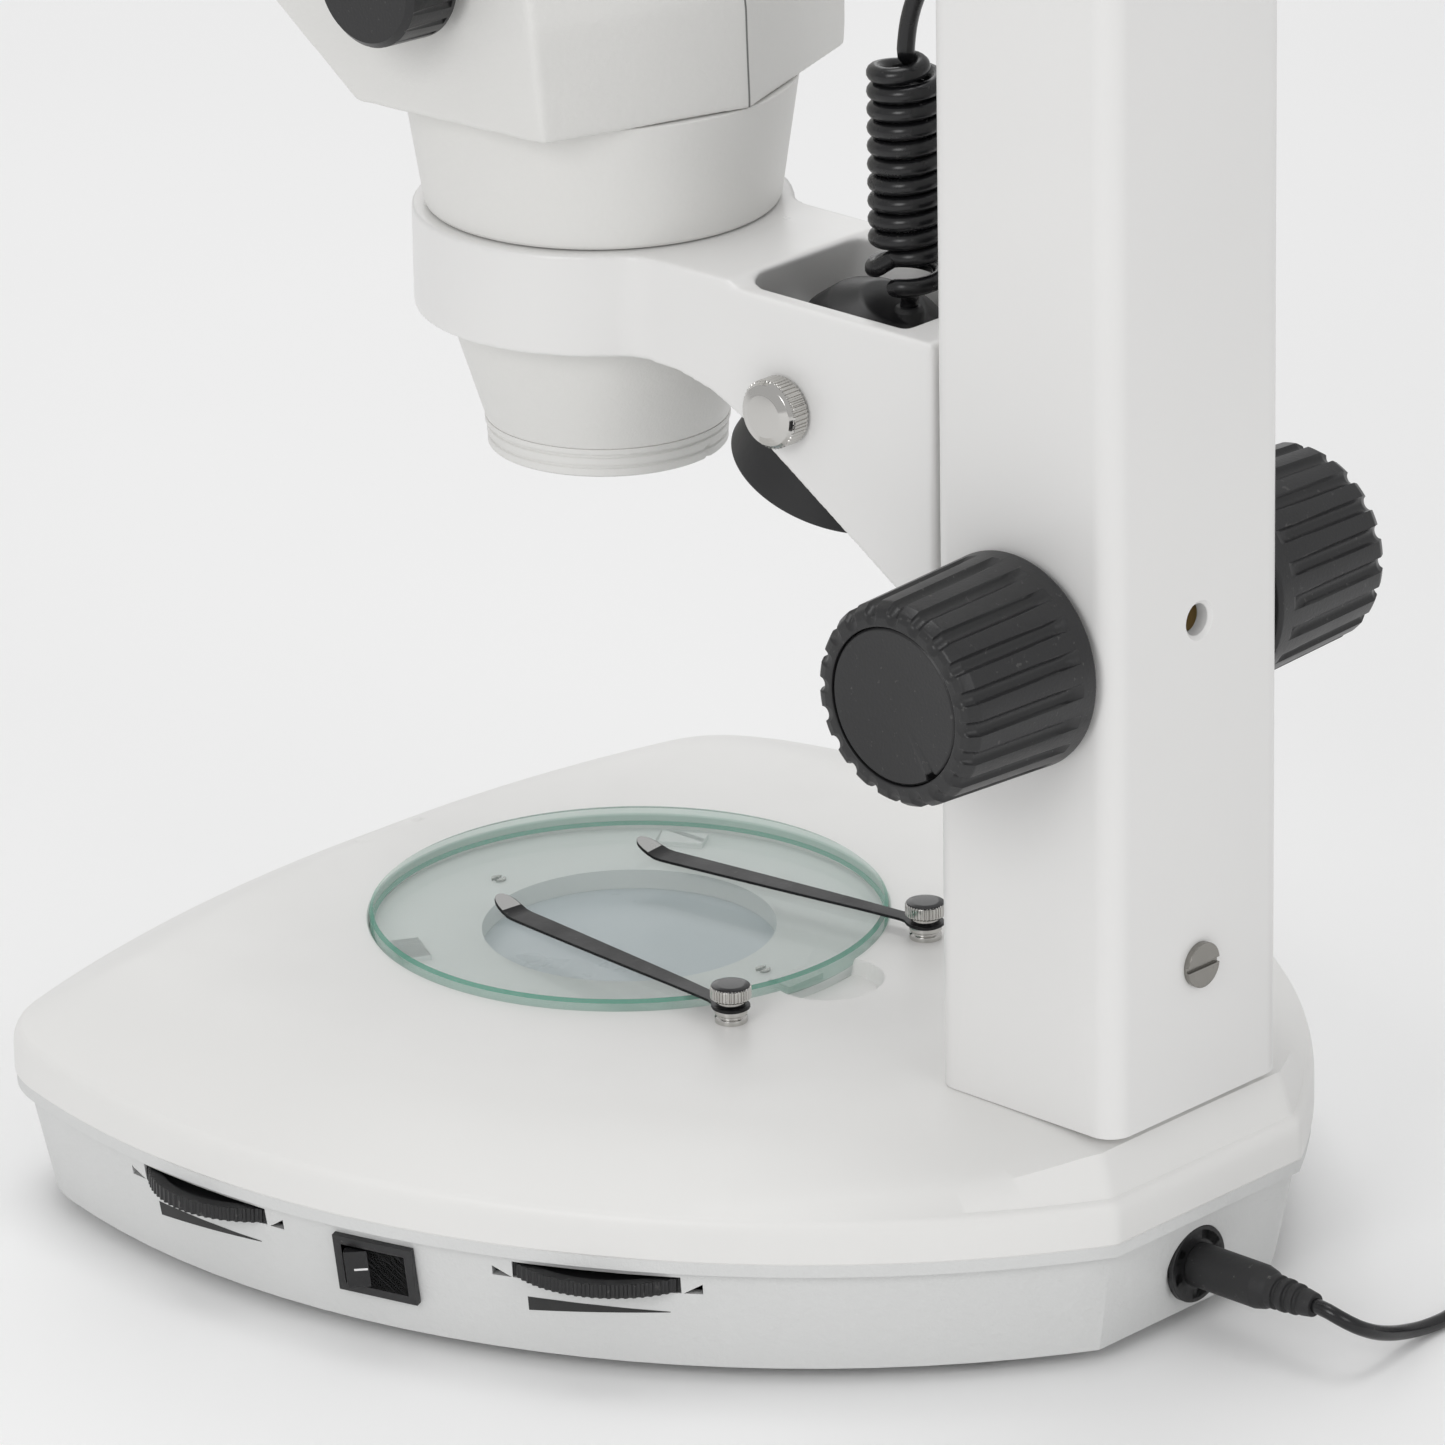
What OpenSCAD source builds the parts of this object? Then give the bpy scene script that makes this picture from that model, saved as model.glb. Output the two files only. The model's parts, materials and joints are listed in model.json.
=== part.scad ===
// Stereo microscope on a lit base with a square column and a tilting top lamp.
// Millimetres, +Z up, the user sits on the -Y side and the column stands on the +Y side.

/* [Base] */
// Height of the rubber feet
foot_h = 3.5; // [3:0.5:5]
// Height of the tray's side wall
tray_h = 26; // [24:1:30]
// Height of the lip strip between the tray and the shell
strip_h = 3; // [2:0.5:4]
// Height of the shell from its lip to the plateau
shell_h = 23.5; // [22:0.5:27]
// Wall thickness of the shell and the tray
case_wall = 2.5; // [2:0.5:3]
// Front edge, ahead of the stage centre
base_front = 108; // [104:1:114]
// Rear edge, behind the stage centre
base_rear = 184; // [182:1:188]
// Radius of the base's front corners
corner_r = 30; // [24:1:34]
// Distance from the rim to the plateau's crease
plateau_inset = 32; // [28:1:34]

/* [Stage] */
// Diameter of the stage glass
glass_d = 125; // [123:0.5:125]
// Thickness of the stage glass
glass_t = 5; // [4:0.5:6]
// How far the glass stands above the plateau
glass_proud = 2.5; // [1.5:0.5:3]
// Diameter of the lit opening under the glass
well_d = 71; // [60:1:74]
// Sideways distance of a clip post from the centre plane
clip_x = 34; // [30:1:38]
// Distance of the clip posts behind the stage centre
clip_y = 65.5; // [65:0.5:68]

/* [Column] */
// Width of the column across the base
column_w = 60; // [58:1:64]
// Depth of the column
column_d = 54.5; // [52:0.5:58]
// Height of the column's top above the table
column_top = 348; // [340:1:360]
// Wall thickness of the column
column_wall = 4; // [3.5:0.5:4.5]

/* [Focus] */
// Height of the focus shaft
focus_z = 167.5; // [166:0.5:169]
// Gear module of the rack and the pinion
gear_module = 1; // [1:0.25:1]
// Number of pinion teeth
pinion_teeth = 15; // [15:1:15]
// Knob diameter at its inner end
knob_inner_d = 51; // [46:1:54]
// Knob diameter at its outer end
knob_outer_d = 47.4; // [42:1:50]
// Number of grip grooves around a knob
knob_grooves = 20; // [12:1:24]

/* [Arm and head] */
// How far the optical axis stands ahead of the stage centre
axis_ahead = 3.5; // [0:0.5:5]
// Height of the arm ring's underside
ring_z = 211; // [209:1:213]
// Height of the arm ring
ring_h = 25; // [24:1:26]
// Outer diameter of the arm ring
ring_d = 90; // [88:1:94]
// Diameter of the head's seat in the ring
seat_d = 76; // [76:1:76]
// Half width of the arm over its cheeks
cheek_x = 27; // [26:0.5:28]
// Height of the objective ring's lower face
objective_z = 176; // [174:1:178]
// Inner thread diameter of the objective ring
thread_d = 48; // [46:1:48]
// Half the distance between the eyepieces
eye_x = 31; // [30:0.5:33]

/* [Lamp] */
// Tilt of the lamp from straight down, towards the stage
lamp_tilt = 24; // [20:1:26]
// Outer diameter of the curly cord
curl_d = 20; // [16:1:20]

/* [Power lead] */
// Diameter of the power lead
lead_d = 3.6; // [3:0.2:3.6]
// Mean radius of the stored coil
coil_r = 20; // [19:0.5:21]

/* [Hidden] */
$fn = 96;

// Shared heights
tray_top = foot_h + tray_h;
lip_z = tray_top + strip_h;
plateau_z = lip_z + shell_h;
glass_top = plateau_z + glass_proud;
glass_under = glass_top - glass_t;
scoop_y = 65;
recess_z = plateau_z - 5.8;
ring_t = 2;
diffuser_z = recess_z - 5.5;
ring_top = ring_z + ring_h;

// Plan of the base: two side arcs, a front arc and a straight rear edge
side_arc_r = 223;
side_arc_x = 81;
side_arc_y = -8;
front_arc_r = 387;
strip_inset = 0.4;
tray_inset = 2.8;
tray_draft = 4.8;
far = 400;

// Head and eyepieces
head_y = -axis_ahead;
housing_z = 267;
housing_top = 336;
tube_y = head_y - 38;
tube_z = housing_top + 0.4;
drum_h = 20;
spigot_r = 14;
eye_tilt = 45;
cup_top = 89;
cup_r = 19.8;
zoom_y = head_y - 4;
zoom_z = 304;
zoom_shaft_r = 3;
zoom_drum_r = 5;
zoom_knob_in = 57.5;

// The eyecups in front and the base's rear edge put the origin in the middle of the footprint
front_reach = (cup_top + cup_r) * sin(eye_tilt) - tube_y;
stage_y = (front_reach - base_rear) / 2;

// Column and focus drive
column_front = 126;
column_mid = column_front + column_d / 2;
column_corner = 6;
pinion_r = gear_module * pinion_teeth / 2;
focus_y = 152.5;
shaft_r = 4;
fit = 0.05;
gap = 0.4;
knob_in = column_w / 2 + 1.5;
knob_out = 72;
slot_w = 26;
neck_w = 24;
wing_x = 22;
wing_y = 132;
wing_t = 5;
carriage_z = 160;
carriage_top = 232;
travel = 25;
rack_z = 130;
rack_h = 78;
access_z = 174.5;
rear_screw_z = 91;

// Arm and lamp
cheek_t = 5;
cheek_top = ring_top - 1.5;
hollow_y = 61.6;
hollow_lean = 23;
web_y = 112;
arm_rear = 124.4;
lamp_y = 79;
lamp_z = 209;
stud_r = 3;
lamp_r = 20;
lamp_rim_r = 24.4;
lamp_rim_z = -26.5;
lamp_top = 24;
clamp_angle = 225;

// Wheels and switch on the right side wall, by their angle round the side arc
wheel_r = 28;
wheel_t = 3.4;
wheel_slot_h = 4.3;
wheel_out = 6;
wheel_z = tray_top - 5.9;
front_wheel_a = 0.5;
rear_wheel_a = 28.2;
switch_a = 13.8;
wall_lean = atan(tray_draft / tray_h);
switch_z = 19.5;
switch_w = 21;
switch_h = 15;
rocker_turn = 11;

// Power lead: socket axis, stored coil and the points that the lead passes
socket_z = 16;
plug_y = base_rear - 3.5;
plug_end = plug_y + 35;
coil_x = -100;
coil_y = 240;
coil_w = 4;
coil_layers = 3;
lead_route = [
    [0, plug_end, socket_z], [0, 219, 15.7], [-1, 222, 14.4], [-4, 224.3, 12], [-9, 225, 9.2],
    [-15, 224.6, 6.6], [-22, 223.6, 4.2], [-30, 223, 2.4], [-38, 222.8, 1.8], [-48, 221.8, 1.8],
    [-59, 219, 1.8], [-70, 215.4, 1.8], [-81, 212.4, 1.8], [-91, 211.2, 1.8], [-100, 211, 1.8]
];
tail_route = [
    [-129, 240, 1.8], [-129, 230, 1.8], [-129, 220, 1.8], [-129, 210, 1.8], [-129, 200, 1.8],
    [-129.5, 190, 1.8], [-131.5, 180, 2.2], [-136, 171, 4], [-143, 166, 7.5], [-149.5, 167, 11],
    [-152, 172, 13.3], [-152, 178, 14]
];
adapter_x = -152;
adapter_y = 214;

// ---------- helpers ----------

module at_stage() translate([0, stage_y, 0]) children();

module at_lamp() at_stage() translate([0, lamp_y, lamp_z]) rotate([-lamp_tilt, 0, 0]) children();

module both_sides() {
    children();
    mirror([1, 0, 0]) children();
}

module along_x() rotate([0, 90, 0]) children();

module ring(outer, inner, h) {
    difference() {
        cylinder(r = outer, h = h);
        translate([0, 0, -1]) cylinder(r = inner, h = h + 2);
    }
}

module rounded_rect(w, d, r) {
    square([w - 2 * r, d], center = true);
    square([w, d - 2 * r], center = true);
    for (sx = [-1, 1], sy = [-1, 1])
        translate([sx * (w / 2 - r), sy * (d / 2 - r)]) circle(r);
}

module side_arcs(inset) {
    intersection() {
        translate([-side_arc_x, side_arc_y]) circle(side_arc_r - inset, $fn = 120);
        translate([side_arc_x, side_arc_y]) circle(side_arc_r - inset, $fn = 120);
    }
}

module base_outline(inset, rear = base_rear, rounding = corner_r, front = 0) {
    intersection() {
        offset(r = rounding, $fn = 48) offset(delta = -rounding) intersection() {
            side_arcs(inset);
            translate([0, front_arc_r - base_front]) circle(front_arc_r - inset + front, $fn = 160);
        }
        translate([-far / 2, -far / 2]) square([far, far / 2 + rear - inset]);
    }
}

module plateau_outline() base_outline(plateau_inset, rear = 161, rounding = 16, front = 7);

// A point on the right tray wall: angle round the side arc, distance inwards from the outline
module on_side(angle, inward) {
    at_stage() translate([-side_arc_x, side_arc_y, 0]) rotate([0, 0, angle])
        translate([side_arc_r - inward, 0, 0]) children();
}

module at_wheel(angle) on_side(angle, tray_inset + wheel_r - wheel_out) translate([0, 0, wheel_z]) children();

module at_switch() {
    on_side(switch_a, tray_inset + tray_draft * (tray_top - switch_z) / tray_h)
        translate([0, 0, switch_z]) rotate([0, wall_lean, 0]) children();
}

// ---------- base ----------

module shell_form(wall) {
    hull() {
        translate([0, 0, lip_z]) linear_extrude(7) base_outline(wall);
        translate([0, 0, lip_z + 10.5]) linear_extrude(0.5) base_outline(wall + 2);
        translate([0, 0, plateau_z - wall - 0.5]) linear_extrude(0.5) plateau_outline();
    }
}

module shell_rear(wall) {
    hull() {
        translate([0, 0, lip_z]) linear_extrude(7) intersection() {
            base_outline(wall);
            translate([-far / 2, 60]) square([far, far]);
        }
        translate([-column_w / 2 + wall, 100, plateau_z - wall - 0.5])
            cube([column_w - 2 * wall, column_front + column_d - wall - 100, 0.5]);
    }
}

module base_shell() {
    color("whitesmoke") at_stage() difference() {
        union() {
            shell_form(0);
            shell_rear(0);
        }
        translate([0, 0, -0.01]) shell_form(case_wall);
        translate([0, 0, -0.01]) shell_rear(case_wall);
        translate([0, 0, recess_z]) cylinder(d = glass_d + 0.8, h = far);
        translate([0, 0, lip_z]) cylinder(r = glass_d / 2 - 8, h = far);
        translate([0, scoop_y, glass_under - 1]) cylinder(r = 13, h = far);
        translate([-10.5, -100, plateau_z - 1.2]) cube([21, 20, 10]);
        for (s = [-1, 1]) translate([s * clip_x, clip_y, lip_z]) cylinder(r = 2.5, h = far);
        for (sx = [-1, 1], sy = [-1, 1])
            translate([sx * 19, column_mid + sy * 17, lip_z]) cylinder(r = 2.6, h = far);
    }
    // Seat of the well ring, pillars under the column and posts down to the tray's screws
    color("whitesmoke") at_stage() {
        rotate_extrude() polygon([
            [54.5, recess_z - 3], [65.5, recess_z - 3], [65.5, plateau_z - 1], [glass_d / 2 + 0.4, plateau_z - 1],
            [glass_d / 2 + 0.4, recess_z], [54.5, recess_z]
        ]);
        difference() {
            translate([0, scoop_y, recess_z - 1]) cylinder(r = 15, h = plateau_z - recess_z);
            translate([0, scoop_y, glass_under - 1]) cylinder(r = 13, h = 20);
            translate([0, 0, recess_z - 2]) cylinder(r = glass_d / 2 + 1, h = 20);
        }
        for (sx = [-1, 1], sy = [-1, 1])
            translate([sx * 19, column_mid + sy * 17, plateau_z - 12]) ring(7, 2.6, 11);
        for (p = screw_spots)
            translate([p[0], p[1], foot_h + case_wall]) ring(4, 1.5, plateau_z - 1 - foot_h - case_wall);
    }
}

module tray_form(wall, floor_z, reach) {
    hull() {
        translate([0, 0, tray_top - 0.5]) linear_extrude(reach) base_outline(tray_inset + wall);
        translate([0, 0, floor_z]) linear_extrude(0.5) base_outline(tray_inset + tray_draft + wall);
    }
}

module base_tray() {
    color("gainsboro") difference() {
        at_stage() union() {
            tray_form(0, foot_h, 1.5);
            translate([0, 0, tray_top]) linear_extrude(strip_h) base_outline(strip_inset);
        }
        at_stage() tray_form(case_wall, foot_h + case_wall, 10);
        for (a = [front_wheel_a, rear_wheel_a])
            at_wheel(a) {
                translate([-5, -20, -0.4]) cube([40, 40, wheel_slot_h]);
                translate([-5, -25, -0.4]) cube([24.9, 50, wheel_slot_h]);
            }
        at_switch() cube([20, 19.4, 13.4], center = true);
        at_stage() translate([0, plug_y, socket_z]) rotate([90, 0, 0]) cylinder(r = 7, h = 12);
        at_stage() translate([0, plug_y + 10, socket_z]) rotate([90, 0, 0]) cylinder(r = 9.4, h = 11.65);
        at_stage() translate([-58, -50, 0]) cube([116, 150, foot_h + case_wall + 1]);
        for (p = screw_spots) at_stage() translate([p[0], p[1], 0]) cylinder(r = 1.6, h = 12);
        for (p = foot_spots) at_stage() translate([p[0], p[1], 0]) cylinder(r = foot_peg_r, h = 12);
    }
}

screw_spots = [[-76, -56], [76, -56], [-62, 106], [62, 106]];
foot_spots = [[-106, -62], [106, -62], [-42, 148], [42, 148]];
foot_peg_r = 2.5;

module bottom_cover() {
    color("dimgray") at_stage() difference() {
        translate([-57.5, -49.5, foot_h]) cube([115, 149, 2]);
        for (x = [-40:20:40], y = [-20, 70]) translate([x - 2, y, 0]) cube([4, 30, 20]);
    }
    color("dimgray") at_stage() for (p = screw_spots) difference() {
        translate([p[0] - 8, p[1] - 8, foot_h - 0.8]) cube([16, 16, 0.8]);
        translate([p[0], p[1], 0]) cylinder(r = 1.6, h = 10);
    }
    color("dimgray") at_stage() for (y = [-50, 90])
        translate([-70, y, foot_h - 0.8]) cube([140, 10, 0.8]);
}

module pan_screw(head_r, head_h, shank_r, length) {
    difference() {
        union() {
            translate([0, 0, -head_h]) cylinder(r = head_r, h = head_h);
            cylinder(r = shank_r, h = length);
        }
        translate([-head_r, -0.6, -head_h - 1]) cube([2 * head_r, 1.2, 1.8]);
    }
}

module base_screws() {
    color("silver") at_stage() {
        for (p = screw_spots) translate([p[0], p[1], foot_h - 0.8]) pan_screw(3, 1.6, 1.5, 9);
        for (sx = [-1, 1], sy = [-1, 1])
            translate([sx * 19, column_mid + sy * 17, plateau_z - 12]) pan_screw(4.5, 3, 2.5, 22);
        for (s = [-1, 1]) translate([0, s * 44, recess_z + ring_t]) mirror([0, 0, 1])
            pan_screw(1.8, 0.6, 1, 4);
        translate([0, column_front + column_d, rear_screw_z]) rotate([90, 0, 0]) pan_screw(5.4, 1.6, 2.5, 8);
    }
}

module rubber_feet() {
    color("black") at_stage()
        for (p = foot_spots) translate([p[0], p[1], 0]) difference() {
            union() {
                cylinder(r1 = 9, r2 = 10, h = foot_h);
                translate([0, 0, foot_h]) cylinder(r = foot_peg_r, h = case_wall + 1);
            }
            translate([0, 0, -1]) cylinder(r = 3, h = 2);
        }
}

// ---------- stage ----------

module well_ring() {
    color("gainsboro") at_stage() difference() {
        union() {
            translate([0, 0, recess_z]) cylinder(d = glass_d + 0.4, h = ring_t);
            translate([0, 0, diffuser_z]) cylinder(r = 41, h = recess_z - diffuser_z + 0.5);
            for (a = [90, 210, 330]) rotate([0, 0, a])
                translate([51, -6, recess_z]) cube([7, 12, glass_under - recess_z]);
        }
        translate([0, 0, diffuser_z - 1]) cylinder(d = well_d, h = 20);
        translate([0, 0, diffuser_z - 1]) cylinder(r = 39.05, h = 3.5);
        for (s = [-1, 1]) translate([0, s * 44, recess_z - 1]) cylinder(r = 1, h = 5);
    }
}

module stage_glass() {
    color([0.75, 0.9, 0.85, 0.5]) at_stage() translate([0, 0, glass_under]) rotate_extrude() polygon([
        [0, 0], [glass_d / 2 - 0.6, 0], [glass_d / 2, 0.6],
        [glass_d / 2, glass_t - 0.6], [glass_d / 2 - 0.6, glass_t], [0, glass_t]
    ]);
}

module diffuser() {
    color("lightsteelblue") at_stage() translate([0, 0, diffuser_z]) difference() {
        cylinder(r = 39, h = 2.5);
        for (a = [0:120:240]) rotate([0, 0, a]) translate([37.4, 0, -1]) cylinder(r = 0.8, h = 5);
    }
}

module stage_lamp_board() {
    color("darkgreen") at_stage() translate([0, 0, 14]) {
        cylinder(r = 34, h = 1.6);
        for (a = [0:45:315]) rotate([0, 0, a]) translate([22, 0, 1.6]) cylinder(r = 2.5, h = 2.2);
        translate([0, 0, 1.6]) cylinder(r = 2.5, h = 2.2);
        for (a = [60:120:300]) rotate([0, 0, a]) translate([29, 0, -8.5]) cylinder(r = 3, h = 8.5);
    }
}

module clip_posts() {
    color("silver") at_stage() both_sides() translate([clip_x, clip_y, 0]) difference() {
        union() {
            translate([0, 0, plateau_z - 4]) cylinder(r = 2.5, h = 4.2);
            translate([0, 0, plateau_z]) cylinder(r = 3.9, h = 3.2);
            translate([0, 0, plateau_z + 3.2]) cylinder(r = 1.5, h = 1.2);
        }
        translate([0, 0, plateau_z - 3]) cylinder(r = 1, h = 20);
    }
}

clip_turn = 6.4;
clip_len = 86;
clip_drop = 0.6;
clip_z = plateau_z + 3.5;

// Spring strip in its own frame: pivot at the origin, tip along -Y
module clip_strip() {
    difference() {
        union() {
            cylinder(r = 4.6, h = 0.8);
            translate([-3.2, -20, 0]) cube([6.4, 18, 0.8]);
            translate([0, -19, 0]) rotate([clip_drop, 0, 0]) translate([-3.2, -clip_len + 27, 0])
                cube([6.4, clip_len - 27, 0.8]);
            translate([0, -clip_len + 8.2, -(clip_len - 27) * sin(clip_drop)]) rotate([-22, 0, 0])
                translate([-3.2, -8, 0]) cube([6.4, 8.6, 0.8]);
        }
        translate([0, 0, -1]) cylinder(r = 1.5 + fit, h = 3);
    }
}

module clip_right() {
    color("black") at_stage() translate([clip_x, clip_y, clip_z]) rotate([0, 0, -clip_turn]) clip_strip();
}

module clip_left() {
    color("black") at_stage() translate([-clip_x, clip_y, clip_z]) rotate([0, 0, clip_turn]) clip_strip();
}

module thumbscrew() {
    translate([0, 0, clip_z + 1.2]) {
        cylinder(r = 3.6, h = 1);
        translate([0, 0, 1]) difference() {
            cylinder(r = 4.9, h = 3.4);
            for (a = [0:12:348]) rotate([0, 0, a]) translate([5.1, 0, -1]) cylinder(r = 0.4, h = 6, $fn = 16);
            translate([0, 0, 2.9]) cylinder(r = 4, h = 1);
        }
        translate([0, 0, 1 + 2.9]) cylinder(r = 3.98, h = 0.9);
        translate([0, 0, -4.5]) cylinder(r = 0.95, h = 5);
    }
}

module thumbscrew_right() {
    color("silver") at_stage() translate([clip_x, clip_y, 0]) thumbscrew();
}

module thumbscrew_left() {
    color("silver") at_stage() translate([-clip_x, clip_y, 0]) thumbscrew();
}

// ---------- controls ----------

module dimmer_wheel() {
    difference() {
        cylinder(r = wheel_r, h = wheel_t);
        for (a = [0:4:356]) rotate([0, 0, a])
            translate([wheel_r + 0.35, 0, -1]) cylinder(r = 0.8, h = wheel_t + 2, $fn = 12);
        translate([0, 0, wheel_t - 1]) ring(wheel_r - 3, 8, 3);
        translate([0, 0, -1]) cylinder(r = 3 + fit, h = 10);
    }
}

module dimmer_wheel_front() {
    color("black") at_wheel(front_wheel_a) dimmer_wheel();
}

module dimmer_wheel_rear() {
    color("black") at_wheel(rear_wheel_a) dimmer_wheel();
}

module potentiometer() {
    translate([-8.5, -8.5, foot_h + 8 - wheel_z]) cube([17, 17, wheel_z - foot_h - 9]);
    translate([0, 0, -1.5]) cylinder(r = 3, h = wheel_t + 2);
    translate([0, 0, -1.01]) cylinder(r = 4.5, h = 0.6);
}

module control_board() {
    color("darkgreen") {
        at_wheel(front_wheel_a) potentiometer();
        at_wheel(rear_wheel_a) potentiometer();
        at_stage() difference() {
            translate([0, 0, foot_h + 6.4]) linear_extrude(1.61) intersection() {
                base_outline(18);
                translate([84, -22]) square([60, 126]);
            }
        }
        at_stage() for (y = [0, 80]) translate([92, y, foot_h + case_wall]) cylinder(r = 2.5, h = 4);
    }
}

module switch_bezel() {
    color("black") at_switch() difference() {
        union() {
            translate([0.02, -switch_w / 2, -switch_h / 2]) cube([1.6, switch_w, switch_h]);
            translate([-13, -9.6, -6.6]) cube([13.2, 19.2, 13.2]);
        }
        translate([-8, -8.4, -5.3]) cube([20, 16.8, 10.6]);
        translate([rocker_x, 0, -6.1]) cylinder(r = rocker_pin_r + fit, h = 12.2);
    }
}

rocker_x = -1.5;
rocker_pin_r = 1.2;

module switch_rocker() {
    color("black") at_switch() translate([rocker_x, 0, 0]) {
        rotate([0, 0, rocker_turn]) translate([0, 0, -4.9]) linear_extrude(9.8)
            polygon([[2.2, 0], [4.2, 7.4], [2.3, 7.7], [-3, 5], [-3, -5], [2.3, -7.7], [4.2, -7.4]]);
        translate([0, 0, -6]) cylinder(r = rocker_pin_r, h = 12);
    }
}

module dc_socket() {
    color("black") at_stage() translate([0, plug_y - 1.6, socket_z]) rotate([-90, 0, 0]) difference() {
        union() {
            cylinder(r = 9.3, h = 1.6);
            translate([0, 0, -10]) cylinder(r = 6.9, h = 10.1);
        }
        translate([0, 0, -8]) cylinder(r = 3.2, h = 20);
    }
}

// ---------- column and focus drive ----------

module column() {
    color("whitesmoke") difference() {
        at_stage() translate([0, column_mid, plateau_z]) difference() {
            linear_extrude(column_top - plateau_z) rounded_rect(column_w, column_d, column_corner);
            translate([0, 0, 12]) linear_extrude(column_top)
                rounded_rect(column_w - 2 * column_wall, column_d - 2 * column_wall, 3);
            for (sx = [-1, 1], sy = [-1, 1])
                translate([sx * 19, sy * 17, -1]) cylinder(r = 2.5, h = 20);
        }
        at_stage() translate([-slot_w / 2, column_front - 1, carriage_z - travel - 1])
            cube([slot_w, 6, carriage_top - carriage_z + 2 * travel + 2]);
        at_stage() translate([-far / 2, focus_y, focus_z]) along_x() cylinder(r = 7, h = far);
        at_stage() translate([0, column_mid, access_z]) rotate([-90, 0, 0]) {
            cylinder(r = 3.8, h = 40);
            translate([0, 0, column_d / 2 - 0.9]) cylinder(r1 = 3.8, r2 = 4.8, h = 1);
        }
        at_stage() translate([0, column_mid, rear_screw_z]) rotate([-90, 0, 0]) cylinder(r = 2.5, h = 40);
        at_stage() translate([0, column_front - 1, gland_z]) rotate([-90, 0, 0]) cylinder(r = 5, h = 6);
    }
}

tail_r = 33;
curl_y = column_front - tail_r;
curl_z = 240;
tail_z = 230;
curl_top = 290;
gland_z = curl_top + tail_r;

module column_cap() {
    color("whitesmoke") at_stage() translate([0, column_mid, column_top]) {
        linear_extrude(5) rounded_rect(column_w, column_d, column_corner);
        translate([0, 0, -5]) linear_extrude(5.01)
            rounded_rect(column_w - 2 * column_wall - 0.2, column_d - 2 * column_wall - 0.2, 3);
    }
}

rail_relief = 3;

module guide_rails() {
    inner = column_w / 2 - column_wall;
    rail_z = carriage_z - travel - 8;
    color("gray") at_stage() both_sides() difference() {
        translate([13, column_front + column_wall, rail_z])
            cube([inner - 13, 11, carriage_top - carriage_z + 2 * travel + 16]);
        translate([inner - rail_relief, column_front + column_wall - 1, rail_z - 1])
            cube([rail_relief + 1, rail_relief + 1, far]);
        translate([12, wing_y - gap, rail_z - 1]) cube([wing_x + gap - 12, wing_t + 2 * gap, far]);
    }
}

module carriage() {
    color("silver") at_stage() difference() {
        union() {
            translate([-neck_w / 2, arm_rear, carriage_z + 12])
                cube([neck_w, wing_y - arm_rear + 0.01, carriage_top - carriage_z - 12]);
            translate([-wing_x, wing_y, carriage_z]) cube([2 * wing_x, wing_t, carriage_top - carriage_z]);
        }
        for (z = arm_screw_z) translate([0, arm_rear - 1, z]) rotate([-90, 0, 0]) cylinder(r = 2, h = 14);
    }
}

arm_screw_z = [184, 204, 224];

// Rack tooth flanks lean 20 degrees; the tooth is thinned a little for backlash
module focus_rack() {
    pitch = PI * gear_module;
    pitch_y = focus_y - pinion_r;
    teeth = floor(rack_h / pitch);
    tip = 0.9 * gear_module;
    root = 1.2 * gear_module;
    half = pitch / 4 - 0.08;
    slope = tan(20);
    color("goldenrod") at_stage() translate([6, pitch_y, focus_z]) rotate([0, -90, 0]) linear_extrude(12) {
        translate([rack_z - focus_z, wing_y + wing_t - pitch_y])
            square([rack_h, pitch_y - root - wing_y - wing_t]);
        for (i = [-floor(teeth / 2) + 1:floor(teeth / 2) - 1])
            translate([i * pitch, 0]) polygon([
                [-half - root * slope, -root - 0.01], [half + root * slope, -root - 0.01],
                [half - tip * slope, tip], [-half + tip * slope, tip]
            ]);
    }
}

function involute(base, angle) = base * [cos(angle) + angle * PI / 180 * sin(angle),
                                         sin(angle) - angle * PI / 180 * cos(angle)];
function spin(p, a) = [p[0] * cos(a) - p[1] * sin(a), p[0] * sin(a) + p[1] * cos(a)];

module pinion_profile() {
    base = pinion_r * cos(20);
    tip = pinion_r + 0.9 * gear_module;
    root = pinion_r - 1.25 * gear_module;
    tip_roll = sqrt(pow(tip / base, 2) - 1) * 180 / PI;
    pitch_roll = sqrt(pow(pinion_r / base, 2) - 1) * 180 / PI;
    pitch_at = pitch_roll - 20;
    half = 90 / pinion_teeth - 0.08 / pinion_r * 180 / PI;
    steps = 5;
    flank = [for (i = [0:steps]) spin(involute(base, tip_roll * i / steps), -pitch_at - half)];
    tooth = concat([[root * 0.9, flank[0][1]]], flank,
                   [for (i = [steps:-1:0]) [flank[i][0], -flank[i][1]]], [[root * 0.9, -flank[0][1]]]);
    circle(root);
    for (i = [0:pinion_teeth - 1]) rotate(i * 360 / pinion_teeth) polygon(tooth);
}

// A tooth gap of the pinion faces the rack's middle tooth at rest
module pinion_shaft() {
    color("silver") at_stage() translate([0, focus_y, focus_z]) {
        translate([-knob_out + 5, 0, 0]) along_x() cylinder(r = shaft_r, h = 2 * (knob_out - 5));
        rotate([0, 90, 0]) rotate([0, 0, -90 + 180 / pinion_teeth])
            translate([0, 0, -7]) linear_extrude(14) pinion_profile();
    }
}

module shaft_bushes() {
    color("goldenrod") at_stage() both_sides() translate([column_w / 2 - column_wall - 3, focus_y, focus_z])
        along_x() difference() {
            union() {
                cylinder(r = 7, h = column_wall + 3);
                cylinder(r = 9, h = 3);
            }
            translate([0, 0, -1]) cylinder(r = shaft_r + fit, h = 20);
        }
}

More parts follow.
